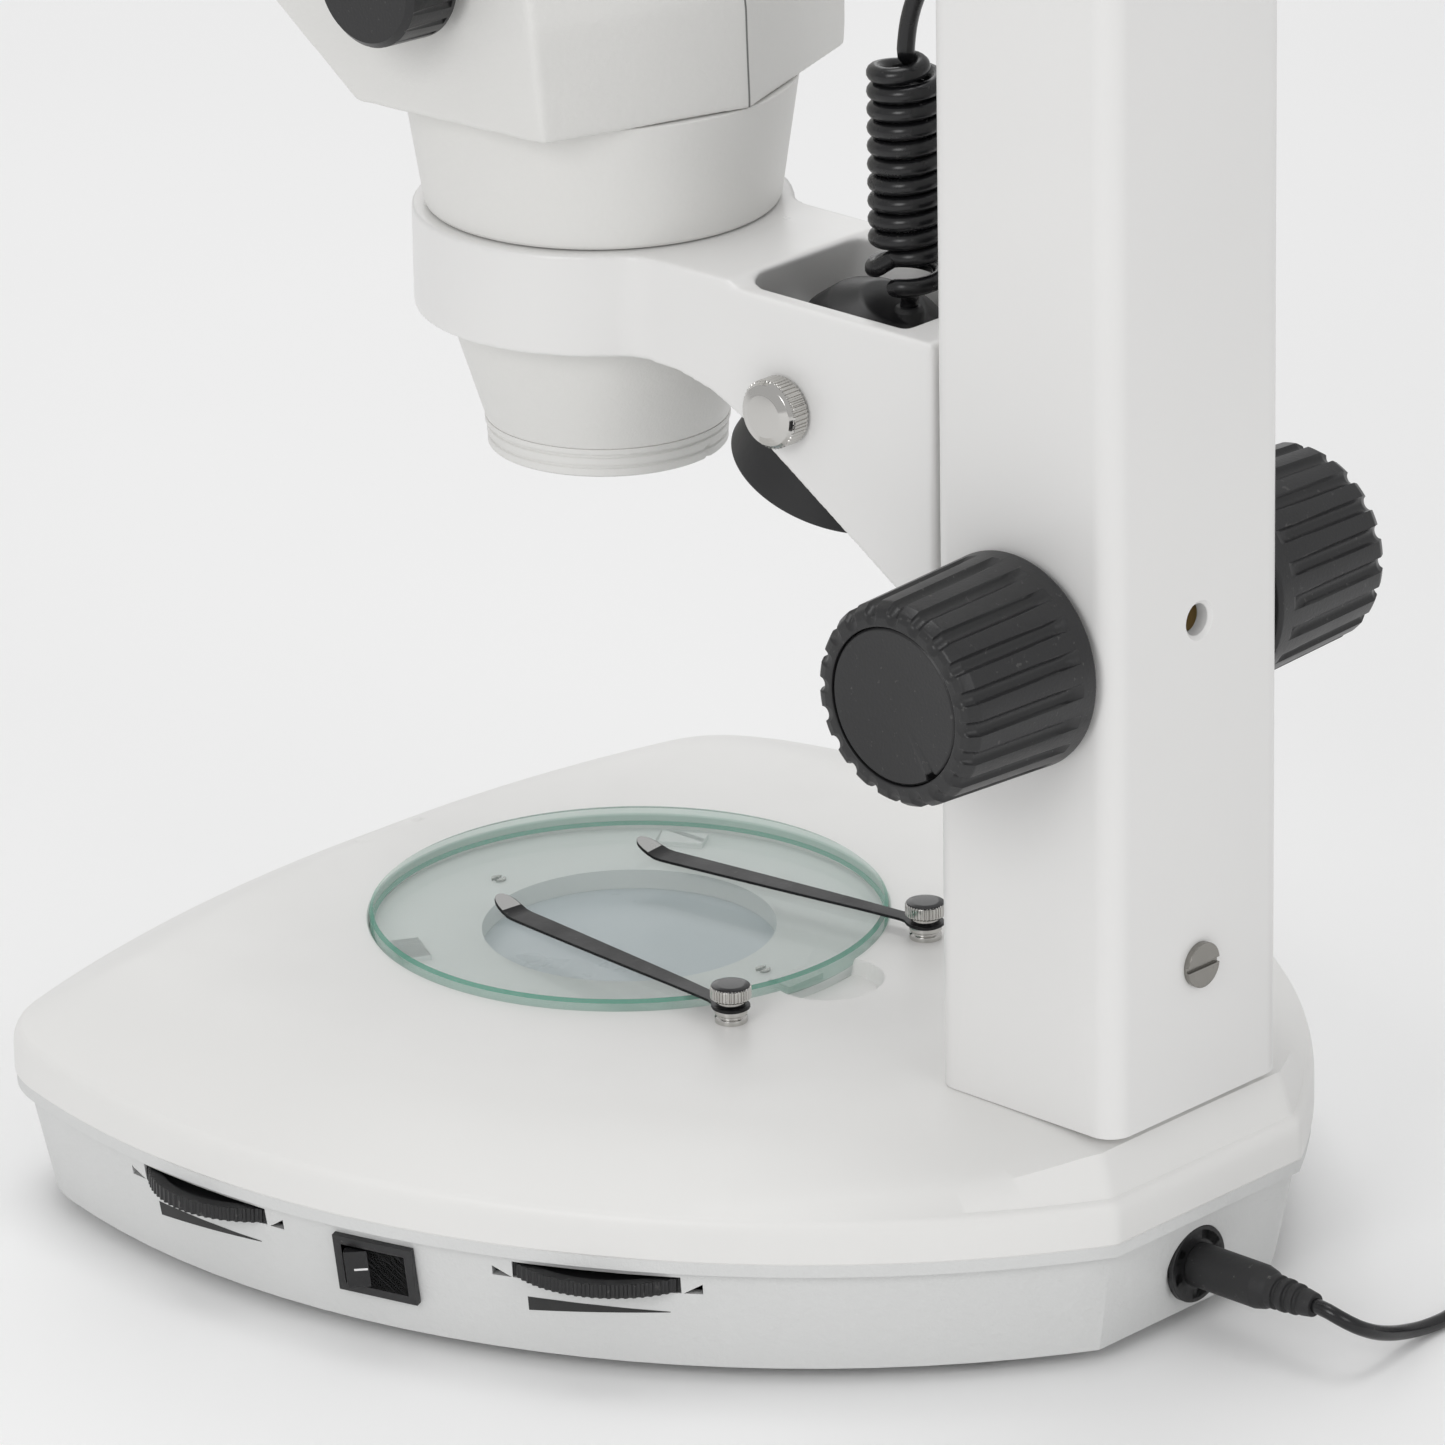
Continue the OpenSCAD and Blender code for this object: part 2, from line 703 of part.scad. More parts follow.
module focus_knob() {
    length = knob_out - knob_in;
    r_in = knob_inner_d / 2;
    r_out = knob_outer_d / 2;
    lean = atan((r_in - r_out) / length);
    difference() {
        rotate_extrude() polygon([
            [shaft_r, 0], [r_in - 1, 0], [r_in, 1], [r_in, 4], [r_out + 0.3, length - 2.4],
            [r_out - 1.2, length - 0.5], [r_out - 3, length], [18.4, length], [18.4, length - 3],
            [10, length - 3], [10, length - 8], [shaft_r, length - 8]
        ]);
        for (i = [0:knob_grooves - 1]) rotate([0, 0, i * 360 / knob_grooves])
            translate([r_in + 0.5, 0, 6]) rotate([0, -lean, 0]) cylinder(r = 1.6, h = length);
        translate([0, 0, -1]) ring(19, 9, 4);
    }
}

module focus_knob_right() {
    color("#222222") at_stage() translate([knob_in, focus_y, focus_z]) along_x() focus_knob();
}

module focus_knob_left() {
    color("#222222") at_stage() mirror([1, 0, 0]) translate([knob_in, focus_y, focus_z]) along_x() focus_knob();
}

module knob_caps() {
    color("#2a2a2a") at_stage() both_sides() translate([knob_out - 3, focus_y, focus_z]) along_x()
        difference() {
            rotate_extrude() polygon([[0, 0], [18.3, 0], [18.3, 2.4], [17.6, 3], [14, 2.7], [0, 2.3]]);
            translate([9, -16.5, 1.5]) rotate([0, 0, 45]) cube([3, 1.2, 4], center = true);
        }
}

// ---------- arm ----------

module arm_plan() {
    offset(r = -12) offset(delta = 12) {
        translate([0, head_y]) circle(d = ring_d);
        translate([-cheek_x, 0]) square([2 * cheek_x, arm_rear]);
    }
}

module arm_side() {
    polygon([
        [-60, ring_z], [30, ring_z], [45, ring_z - 0.6], [56, ring_z - 3.2], [66, ring_z - 8],
        [114, 172], [arm_rear, 165.3], [arm_rear, cheek_top], [64, cheek_top],
        [61, ring_top], [-60, ring_top]
    ]);
}

module arm() {
    color("whitesmoke") at_stage() difference() {
        intersection() {
            translate([0, 0, 150]) linear_extrude(100) arm_plan();
            translate([-60, 0, 0]) rotate([90, 0, 90]) linear_extrude(120) arm_side();
        }
        translate([0, head_y, ring_z - 1]) cylinder(d = seat_d + 2 * fit, h = ring_h + 2);
        translate([-cheek_x + cheek_t, hollow_y + 20, 100])
            cube([2 * (cheek_x - cheek_t), web_y - hollow_y - 20, 200]);
        translate([0, hollow_y, ring_top - 1]) rotate([-hollow_lean, 0, 0]) translate([0, 21, -80])
            linear_extrude(120) rounded_rect(2 * (cheek_x - cheek_t), 42, 8);
        translate([-far / 2, lamp_y, lamp_z]) along_x() cylinder(r = stud_r + fit, h = far);
        for (z = arm_screw_z) translate([0, web_y - 1, z]) rotate([-90, 0, 0]) cylinder(r = 2, h = 20);
        at_clamp() translate([0, 0, seat_d / 2 - 2]) cylinder(r = 3 + fit, h = 20);
    }
}

module at_clamp() {
    translate([0, head_y, ring_z + ring_h / 2]) rotate([0, 0, clamp_angle]) along_x() children();
}

module arm_screws() {
    color("silver") at_stage() for (z = arm_screw_z)
        translate([0, web_y, z]) rotate([-90, 0, 0]) pan_screw(3.5, 2, 2, 16);
}

module ring_screw() {
    color("silver") at_stage() at_clamp() {
        translate([0, 0, seat_d / 2 + 3.2]) cylinder(r = 3, h = 10);
        translate([0, 0, ring_d / 2 + 1]) difference() {
            cylinder(r = 8, h = 9);
            for (a = [0:15:345]) rotate([0, 0, a]) translate([8.3, 0, -1]) cylinder(r = 0.7, h = 12, $fn = 16);
        }
    }
}

// ---------- top lamp ----------

module lamp_housing() {
    color("#1c1c1c") at_lamp() difference() {
        rotate_extrude() union() {
            difference() {
                polygon([
                    [0, lamp_top], [7, lamp_top - 1], [13, lamp_top - 4.5], [17.5, lamp_top - 10],
                    [lamp_r, lamp_top - 18], [lamp_r, -8], [lamp_r + 1.6, -16], [lamp_rim_r, lamp_rim_z],
                    [lamp_rim_r - 2, lamp_rim_z], [lamp_r - 2, -9], [lamp_r - 2, 5], [14, 13], [0, 19]
                ]);
                translate([-1, -50]) square([1, 100]);
            }
        }
        along_x() translate([0, 0, -40]) cylinder(r = stud_r + fit, h = 80);
    }
    color("#1c1c1c") at_stage() translate([0, curl_y, tail_z - 7]) cylinder(r = 3.6, h = 7);
}

module lamp_lens() {
    color("white") at_lamp() translate([0, 0, -16.5]) rotate_extrude()
        polygon([[0, 0], [19.85, 0], [19.4, 1.6], [17, 2.4], [8, 4], [0, 4.6]]);
}

module lamp_board() {
    color("darkgreen") at_lamp() {
        translate([0, 0, -6]) cylinder(r = 17.9, h = 1.6);
        for (a = [0:60:300]) rotate([0, 0, a]) translate([8, 0, -8]) cylinder(r = 2, h = 2.01);
    }
}

module lamp_knob() {
    along_x() {
        translate([0, 0, cheek_x - cheek_t - 7]) cylinder(r = stud_r, h = 9.01);
        translate([0, 0, cheek_x + 0.4]) difference() {
            union() {
                cylinder(r = 8.2, h = 5);
                translate([0, 0, 5]) rotate_extrude() polygon([[0, 0], [7.7, 0], [6.6, 1], [4, 1.9], [0, 2.3]]);
            }
            for (a = [0:10:350]) rotate([0, 0, a])
                translate([8.5, 0, -1]) cylinder(r = 0.55, h = 5.5, $fn = 16);
        }
        translate([0, 0, cheek_x - 5.1]) cylinder(r = stud_r, h = 6);
    }
}

module lamp_knob_right() {
    color("silver") at_stage() translate([0, lamp_y, lamp_z]) lamp_knob();
}

module lamp_knob_left() {
    color("silver") at_stage() mirror([1, 0, 0]) translate([0, lamp_y, lamp_z]) lamp_knob();
}

module lamp_cord() {
    color("black") at_stage() {
        translate([0, curl_y, curl_z]) cylinder(d = curl_d, h = curl_top - curl_z, $fn = 48);
        translate([0, curl_y, tail_z]) cylinder(r = 2.5, h = curl_z - tail_z + 1);
        translate([0, column_front, curl_top]) rotate([90, 0, 0]) rotate([0, -90, 0])
            rotate_extrude(angle = 90, $fn = 48) translate([tail_r, 0]) circle(r = 2.5, $fn = 24);
    }
}

module cord_gland() {
    color("black") at_stage() translate([0, column_front, gland_z]) rotate([-90, 0, 0]) difference() {
        union() {
            translate([0, 0, -2.5]) cylinder(r1 = 6, r2 = 7.5, h = 2.5);
            cylinder(r = 4.95, h = 6);
        }
        translate([0, 0, -5]) cylinder(r = 2.7, h = 20);
    }
}

// ---------- head ----------

module at_head() translate([0, stage_y + head_y, 0]) children();

module head_cone() {
    flange_z = ring_top + 0.4;
    color("whitesmoke") at_head() rotate_extrude() polygon([
        [28.9, objective_z + 7], [37.4, ring_z - 0.6], [seat_d / 2, ring_z + 0.4], [seat_d / 2, flange_z],
        [41.6, flange_z], [42, flange_z + 0.6], [46.6, housing_z], [44, housing_z], [44, housing_z + 2],
        [41.4, housing_z + 2], [39.5, flange_z + 2.4], [35, flange_z], [35, ring_z], [27, objective_z + 9], [27, objective_z + 7]
    ]);
}

// Rows of the housing: height, half width, front, rear shoulder and rear seam from the head axis
housing_rows = [
    [housing_z, 55, -33, 31, 48],
    [housing_z + 27, 57, -66, 30, 47],
    [housing_top - 6, 54, -66, 22, 38],
    [housing_top, 50, -62, 16, 32]
];

module housing_slice(row, wall) {
    translate([0, 0, row[0] - (row[0] > housing_z ? 0.5 + wall : -wall)]) linear_extrude(0.5) polygon([
        [-row[1] + wall, row[2] + 8], [-row[1] + wall + 8, row[2] + wall], [row[1] - wall - 8, row[2] + wall],
        [row[1] - wall, row[2] + 8], [row[1] - 4 - wall, row[3]], [0, row[4] - wall], [-row[1] + 4 + wall, row[3]]
    ]);
}

module housing_form(wall) {
    hull() for (row = housing_rows) housing_slice(row, wall);
}

module head_shell() {
    difference() {
        intersection() {
            housing_form(0);
            translate([0, -far / 2, 0]) cube([far, far, far]);
        }
        translate([0, 0, 0]) housing_form(2.6);
        translate([0, 0, housing_z - 1]) cylinder(r = 44.1, h = 6);
        translate([eye_x, tube_y - head_y, housing_top - 10]) cylinder(r = spigot_r + fit, h = 20);
        translate([0, zoom_y - head_y, zoom_z]) along_x() cylinder(r = zoom_shaft_r + fit, h = far);
    }
}

module head_shell_right() {
    color("whitesmoke") at_head() head_shell();
}

module head_shell_left() {
    color("whitesmoke") at_head() mirror([1, 0, 0]) head_shell();
}

module objective_ring() {
    color("whitesmoke") at_head() translate([0, 0, objective_z]) difference() {
        rotate_extrude() polygon([
            [thread_d / 2, 0], [28.2, 0], [28.5, 0.4], [28.5, 2], [28.1, 2.3], [28.1, 2.8], [28.7, 3.1],
            [28.7, 4.6], [28.3, 4.9], [28.3, 5.3], [29.2, 5.8], [29.2, 7], [thread_d / 2, 7]
        ]);
        rotate([0, 0, 10]) translate([28.6, 0, -1]) cylinder(r = 0.9, h = 4);
    }
}

module objective_lenses() {
    color("lightblue") at_head() both_sides() translate([11.5, 0, objective_z + 7]) {
        ring(11.2, 9, 18);
        translate([0, 0, 4]) cylinder(r = 9.01, h = 5);
    }
    color("lightblue") at_head() translate([0, 0, objective_z + 22]) ring(31, 22.6, 2);
}

module zoom_shaft() {
    color("silver") at_head() translate([0, zoom_y - head_y, zoom_z]) {
        translate([-zoom_knob_in - 10, 0, 0]) along_x() cylinder(r = zoom_shaft_r, h = 2 * zoom_knob_in + 20);
        translate([-3, 0, 0]) along_x() cylinder(r = zoom_drum_r, h = 6);
    }
}

module zoom_knob() {
    difference() {
        rotate_extrude() polygon([
            [zoom_shaft_r, 0], [15, 0], [16, 1], [15.4, 14], [14, 15.5], [0, 15.5], [0, 10], [zoom_shaft_r, 10]
        ]);
        for (a = [0:18:342]) rotate([0, 0, a]) translate([16.4, 0, 2]) cylinder(r = 1.1, h = 20);
    }
}

module zoom_knob_right() {
    color("#222222") at_head() translate([zoom_knob_in, zoom_y - head_y, zoom_z]) along_x() zoom_knob();
}

module zoom_knob_left() {
    color("#222222") at_head() mirror([1, 0, 0])
        translate([zoom_knob_in, zoom_y - head_y, zoom_z]) along_x() zoom_knob();
}

module zoom_carriage() {
    color("dimgray") at_head() {
        both_sides() translate([17, 6, 280]) ring(13, 10.5, 12);
        both_sides() translate([17, 6, 284]) cylinder(r = 10.51, h = 4);
        translate([-4, zoom_y - head_y - zoom_drum_r - 4.5, 280]) cube([8, 4, 34]);
        translate([-22, zoom_y - head_y - zoom_drum_r - 4.5, 280]) cube([44, 9, 3]);
    }
}

module eyepiece_tube() {
    difference() {
        union() {
            cylinder(r = 26, h = drum_h);
            translate([0, 0, drum_h]) cylinder(r1 = 26, r2 = 22, h = 5);
            translate([0, 0, -6]) cylinder(r = spigot_r, h = 7);
            translate([0, 0, 8]) rotate([eye_tilt, 0, 0]) translate([0, 0, 8.5]) cylinder(r = 19.5, h = 43.5);
        }
        translate([0, 0, 8]) rotate([eye_tilt, 0, 0]) translate([0, 0, 10]) cylinder(r = 15.1, h = 60);
        translate([0, 0, -7]) cylinder(r = 11, h = 18);
    }
}

module at_eye(side) translate([side * eye_x, stage_y + tube_y, tube_z]) children();

module on_tube(side) at_eye(side) translate([0, 0, 8]) rotate([eye_tilt, 0, 0]) children();

module eyepiece_tube_right() {
    color("whitesmoke") at_eye(1) eyepiece_tube();
}

module eyepiece_tube_left() {
    color("whitesmoke") at_eye(-1) eyepiece_tube();
}

module eyepiece() {
    difference() {
        rotate_extrude() polygon([
            [13, 30], [15, 30], [15, 52], [18.2, 52.4], [18.6, 54], [18.6, 64], [17.4, 66], [17.4, 76],
            [16.4, 77], [11.5, 77], [11.5, 74], [13, 72]
        ]);
        for (a = [0:20:340]) rotate([0, 0, a]) translate([19, 0, 55]) cylinder(r = 0.8, h = 8, $fn = 16);
    }
    translate([0, 0, 71]) cylinder(r = 12.5, h = 3);
}

module eyepiece_right() {
    color("#222222") on_tube(1) eyepiece();
}

module eyepiece_left() {
    color("#222222") on_tube(-1) eyepiece();
}

module eyecup() {
    rotate_extrude() polygon([
        [17.4, 70], [19, 70], [19.4, 78], [20.4, 88], [cup_r, cup_top], [18.8, 88], [17.4, 79], [14, 77.01], [17.4, 77.01]
    ]);
}

module eyecup_right() {
    color("black") on_tube(1) eyecup();
}

module eyecup_left() {
    color("black") on_tube(-1) eyecup();
}

module diopter_ring() {
    color("#222222") on_tube(-1) difference() {
        translate([0, 0, 38]) cylinder(r = 22, h = 12);
        translate([0, 0, 30]) cylinder(r = 19.5 + fit, h = 30);
        for (a = [0:15:345]) rotate([0, 0, a]) translate([22.5, 0, 39]) cylinder(r = 1, h = 10, $fn = 16);
    }
}

// ---------- power lead ----------

module dc_plug() {
    color("#1c1c1c") at_stage() translate([0, plug_y, socket_z]) rotate([-90, 0, 0]) {
        translate([0, 0, -7.5]) cylinder(r = 2.7, h = 8);
        rotate_extrude() polygon([
            [0, 0], [5.3, 0], [5.3, 20], [4.6, 22.5], [3.9, 23.5], [3.9, 25.5], [3.4, 25.5], [3.4, 26.5],
            [3.7, 26.5], [3.7, 29], [3.1, 29], [3.1, 30], [3.4, 30], [3.4, 32.5], [2.9, 35], [0, 35]
        ]);
    }
}

function unit(v) = v / norm(v);
function heading(path, i) = unit(path[min(i + 1, len(path) - 1)] - path[max(i - 1, 0)]);
function smooth_twice(p) = concat([p[0]], [for (i = [0:len(p) - 2]) each [
    0.75 * p[i] + 0.25 * p[i + 1], 0.25 * p[i] + 0.75 * p[i + 1]]], [p[len(p) - 1]]);

module tube_along(path, r, sides = 8) {
    frames = [for (i = [0:len(path) - 1]) let (t = heading(path, i), u = unit(cross([0, 0, 1], t))) [u, cross(t, u)]];
    points = [for (i = [0:len(path) - 1], k = [0:sides - 1])
        path[i] + r * cos(k * 360 / sides) * frames[i][0] + r * sin(k * 360 / sides) * frames[i][1]];
    rings = len(path);
    faces = concat(
        [[for (k = [0:sides - 1]) k]],
        [for (i = [0:rings - 2], k = [0:sides - 1])
            [i * sides + k, (i + 1) * sides + k, (i + 1) * sides + (k + 1) % sides, i * sides + (k + 1) % sides]],
        [[for (k = [sides - 1:-1:0]) (rings - 1) * sides + k]]);
    polyhedron(points = points, faces = faces, convexity = 6);
}

module power_cord() {
    color("black") at_stage() {
        tube_along(smooth_twice(lead_route), lead_d / 2);
        tube_along(smooth_twice(tail_route), lead_d / 2);
    }
}

module power_coil() {
    half = coil_w * lead_d / 2;
    color("black") at_stage() translate([coil_x, coil_y, 0])
        ring(coil_r + half, coil_r - half, coil_layers * lead_d);
}

module wall_adapter() {
    color("#1c1c1c") at_stage() translate([adapter_x, adapter_y, 0]) {
        linear_extrude(28) rounded_rect(34, 56, 5);
        translate([0, -28, 14]) rotate([90, 0, 0]) cylinder(r1 = 4, r2 = 3, h = 8);
    }
    color("silver") at_stage() translate([adapter_x, adapter_y + 28, 14])
        for (s = [-1, 1]) translate([s * 9.5, -1, 0]) rotate([-90, 0, 0]) cylinder(r = 2, h = 19);
}

base_shell();
base_tray();
bottom_cover();
base_screws();
rubber_feet();
well_ring();
stage_glass();
diffuser();
stage_lamp_board();
clip_posts();
clip_right();
clip_left();
thumbscrew_right();
thumbscrew_left();
dimmer_wheel_front();
dimmer_wheel_rear();
control_board();
switch_bezel();
switch_rocker();
dc_socket();
column();
column_cap();
guide_rails();
shaft_bushes();
cord_gland();
pinion_shaft();
focus_knob_right();
focus_knob_left();
knob_caps();
carriage();
focus_rack();
arm();
arm_screws();
ring_screw();
lamp_housing();
lamp_lens();
lamp_board();
lamp_knob_right();
lamp_knob_left();
lamp_cord();
head_cone();
head_shell_right();
head_shell_left();
objective_ring();
objective_lenses();
zoom_shaft();
zoom_knob_right();
zoom_knob_left();
zoom_carriage();
eyepiece_tube_right();
eyepiece_tube_left();
eyepiece_right();
eyepiece_left();
eyecup_right();
eyecup_left();
diopter_ring();
dc_plug();
power_cord();
power_coil();
wall_adapter();
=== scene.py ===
import bpy
import bmesh
import json
import math
import numpy as np
from mathutils import Matrix, Vector
from mathutils.bvhtree import BVHTree


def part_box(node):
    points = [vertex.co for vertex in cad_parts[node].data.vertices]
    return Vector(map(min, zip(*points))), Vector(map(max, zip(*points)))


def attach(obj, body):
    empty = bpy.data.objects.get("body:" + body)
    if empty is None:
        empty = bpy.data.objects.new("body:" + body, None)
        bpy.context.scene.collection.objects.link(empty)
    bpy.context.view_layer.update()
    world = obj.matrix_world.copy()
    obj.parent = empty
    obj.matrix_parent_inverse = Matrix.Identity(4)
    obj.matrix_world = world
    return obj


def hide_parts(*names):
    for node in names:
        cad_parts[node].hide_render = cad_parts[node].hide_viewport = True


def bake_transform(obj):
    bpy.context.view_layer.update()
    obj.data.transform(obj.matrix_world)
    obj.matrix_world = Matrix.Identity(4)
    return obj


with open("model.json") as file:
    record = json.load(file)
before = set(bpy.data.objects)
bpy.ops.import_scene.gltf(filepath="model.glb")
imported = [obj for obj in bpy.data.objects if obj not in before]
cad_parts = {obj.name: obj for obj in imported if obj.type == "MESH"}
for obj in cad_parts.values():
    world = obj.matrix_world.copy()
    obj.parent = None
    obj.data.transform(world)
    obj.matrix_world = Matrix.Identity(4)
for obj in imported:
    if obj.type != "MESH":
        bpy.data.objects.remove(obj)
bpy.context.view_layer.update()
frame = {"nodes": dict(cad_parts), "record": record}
RECORD = frame["record"]
BODY_OF = {n: b for b, ns in RECORD["behaviour"]["bodies"].items() for n in ns}
SLOT_OF = {s["node"]: s["material_slot"] for s in RECORD["subparts"]}

# The stage frame: millimetres, origin on the table under the middle of the glass
glass_lo, glass_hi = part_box("stage_glass")
SY = (glass_lo.y + glass_hi.y) / 2
MM = Matrix.Translation((0, SY, 0)) @ Matrix.Scale(0.001, 4)
GLASS_TOP = glass_hi.z * 1000
PLATEAU = GLASS_TOP - 2.5


def at(x, y, z):
    return MM @ Vector((x, y, z))


# ---------------------------------------------------------------- camera
def make_camera():
    a, e, roll = math.radians(133.49), math.radians(21.10), 0.0174
    right = Vector((math.cos(a), math.sin(a), 0))
    back = Vector((math.sin(a) * math.cos(e), -math.cos(a) * math.cos(e), math.sin(e)))
    up = back.cross(right)
    x = math.cos(roll) * right - math.sin(roll) * up
    y = math.sin(roll) * right + math.cos(roll) * up
    cam = bpy.data.objects.new("camera", bpy.data.cameras.new("camera"))
    bpy.context.collection.objects.link(cam)
    place = at(-33.84, 0, 35.99 + GLASS_TOP) + back * 2.4072
    cam.matrix_world = Matrix.Translation(place) @ Matrix((x, y, back)).transposed().to_4x4()
    cam.data.lens = 248.1
    cam.data.sensor_width = 36
    cam.data.clip_start, cam.data.clip_end = 0.05, 60
    bpy.context.scene.camera = cam


make_camera()


# ---------------------------------------------------------------- materials
def nodes_of(name):
    m = bpy.data.materials.new(name)
    m.use_nodes = True
    t = m.node_tree
    return m, t, t.nodes["Principled BSDF"]


def noise(t, scale, detail=3.0, stretch=(1, 1, 1), rough=0.5):
    co = t.nodes.new("ShaderNodeTexCoord")
    mp = t.nodes.new("ShaderNodeMapping")
    mp.inputs["Scale"].default_value = stretch
    n = t.nodes.new("ShaderNodeTexNoise")
    n.inputs["Scale"].default_value = scale
    n.inputs["Detail"].default_value = detail
    n.inputs["Roughness"].default_value = rough
    t.links.new(co.outputs["Object"], mp.inputs["Vector"])
    t.links.new(mp.outputs["Vector"], n.inputs["Vector"])
    return n.outputs["Fac"]


def spread(t, value, lo, hi, a=0.3, b=0.7):
    r = t.nodes.new("ShaderNodeMapRange")
    t.links.new(value, r.inputs["Value"])
    for k, v in (("From Min", a), ("From Max", b), ("To Min", lo), ("To Max", hi)):
        r.inputs[k].default_value = v
    return r.outputs["Result"]


def mixed(t, fac, a, b):
    m = t.nodes.new("ShaderNodeMix")
    m.data_type = "RGBA"
    t.links.new(fac, m.inputs["Factor"])
    m.inputs["A"].default_value = (*a, 1)
    if isinstance(b, tuple):
        m.inputs["B"].default_value = (*b, 1)
    else:
        t.links.new(b, m.inputs["B"])
    return m.outputs["Result"]


def bump(t, heights, normal=None):
    for value, depth in heights:
        b = t.nodes.new("ShaderNodeBump")
        b.inputs["Strength"].default_value = 1.0
        b.inputs["Distance"].default_value = depth
        t.links.new(value, b.inputs["Height"])
        if normal is not None:
            t.links.new(normal, b.inputs["Normal"])
        normal = b.outputs["Normal"]
    return normal


def seam_line(t):
    """1 on the plane between the housing's two halves, 0 elsewhere."""
    co = t.nodes.new("ShaderNodeTexCoord")
    xyz = t.nodes.new("ShaderNodeSeparateXYZ")
    t.links.new(co.outputs["Object"], xyz.inputs["Vector"])
    away = t.nodes.new("ShaderNodeMath")
    away.operation = "ABSOLUTE"
    t.links.new(xyz.outputs["X"], away.inputs[0])
    return spread(t, away.outputs["Value"], 1, 0, 0.00018, 0.00042)


def finish(name, color, rough, metal=0.0, vary=0.03, sheen=0.06, grains=((900, 0.00004),), coat=0.0,
           stretch=(1, 1, 1), specular=0.5, dust=0.0, tint=None, seam=False):
    """A procedural finish: a slow change of colour, smudged roughness, and a grain that catches light."""
    m, t, p = nodes_of(name)
    dark = tuple(max(c * (1 - vary), 0) for c in color)
    light = tint or tuple(min(c * (1 + vary), 1) for c in color)
    col = mixed(t, spread(t, noise(t, 14, 4), 0, 1), dark, light)
    if dust:
        specks = spread(t, noise(t, 520, 2, rough=0.7), 0, dust, 0.66, 0.74)
        col = dusted(t, specks, col)
    if seam:
        col = dusted(t, seam_line(t), col, (0.16, 0.16, 0.155))
    t.links.new(col, p.inputs["Base Color"])
    smudge = spread(t, noise(t, 38, 5, rough=0.65), rough - sheen, rough + sheen)
    t.links.new(smudge, p.inputs["Roughness"])
    p.inputs["Metallic"].default_value = metal
    p.inputs["Specular IOR Level"].default_value = specular
    p.inputs["Coat Weight"].default_value = coat
    p.inputs["Coat Roughness"].default_value = 0.2
    if grains:
        t.links.new(bump(t, [(noise(t, s, 2, stretch), d) for s, d in grains]), p.inputs["Normal"])
    return m


def dusted(t, fac, col, over=(0.42, 0.41, 0.39)):
    m = t.nodes.new("ShaderNodeMix")
    m.data_type = "RGBA"
    t.links.new(fac, m.inputs["Factor"])
    t.links.new(col, m.inputs["A"])
    m.inputs["B"].default_value = (*over, 1)
    return m.outputs["Result"]


def clear(name, color, alpha, rough=0.03, ior=1.9):
    """Thin glass that lets light and shadow through: a pale tint and a clean reflection."""
    m, t, p = nodes_of(name)
    t.links.new(mixed(t, spread(t, noise(t, 20, 3), 0, 1), color, tuple(c * 0.97 for c in color)),
                p.inputs["Base Color"])
    p.inputs["Alpha"].default_value = alpha
    p.inputs["IOR"].default_value = ior
    t.links.new(spread(t, noise(t, 60, 5, rough=0.7), rough, rough + 0.05), p.inputs["Roughness"])
    t.links.new(bump(t, [(noise(t, 25, 2), 0.000003)]), p.inputs["Normal"])
    return m


def glassy(name, color, rough, ior=1.5):
    """Solid clear glass, for the lenses."""
    m, t, p = nodes_of(name)
    t.links.new(mixed(t, spread(t, noise(t, 20, 3), 0, 1), color, tuple(c * 0.985 for c in color)),
                p.inputs["Base Color"])
    p.inputs["Transmission Weight"].default_value = 1.0
    p.inputs["IOR"].default_value = ior
    t.links.new(spread(t, noise(t, 60, 5, rough=0.7), rough, rough + 0.03), p.inputs["Roughness"])
    t.links.new(bump(t, [(noise(t, 25, 2), 0.000004)]), p.inputs["Normal"])
    return m


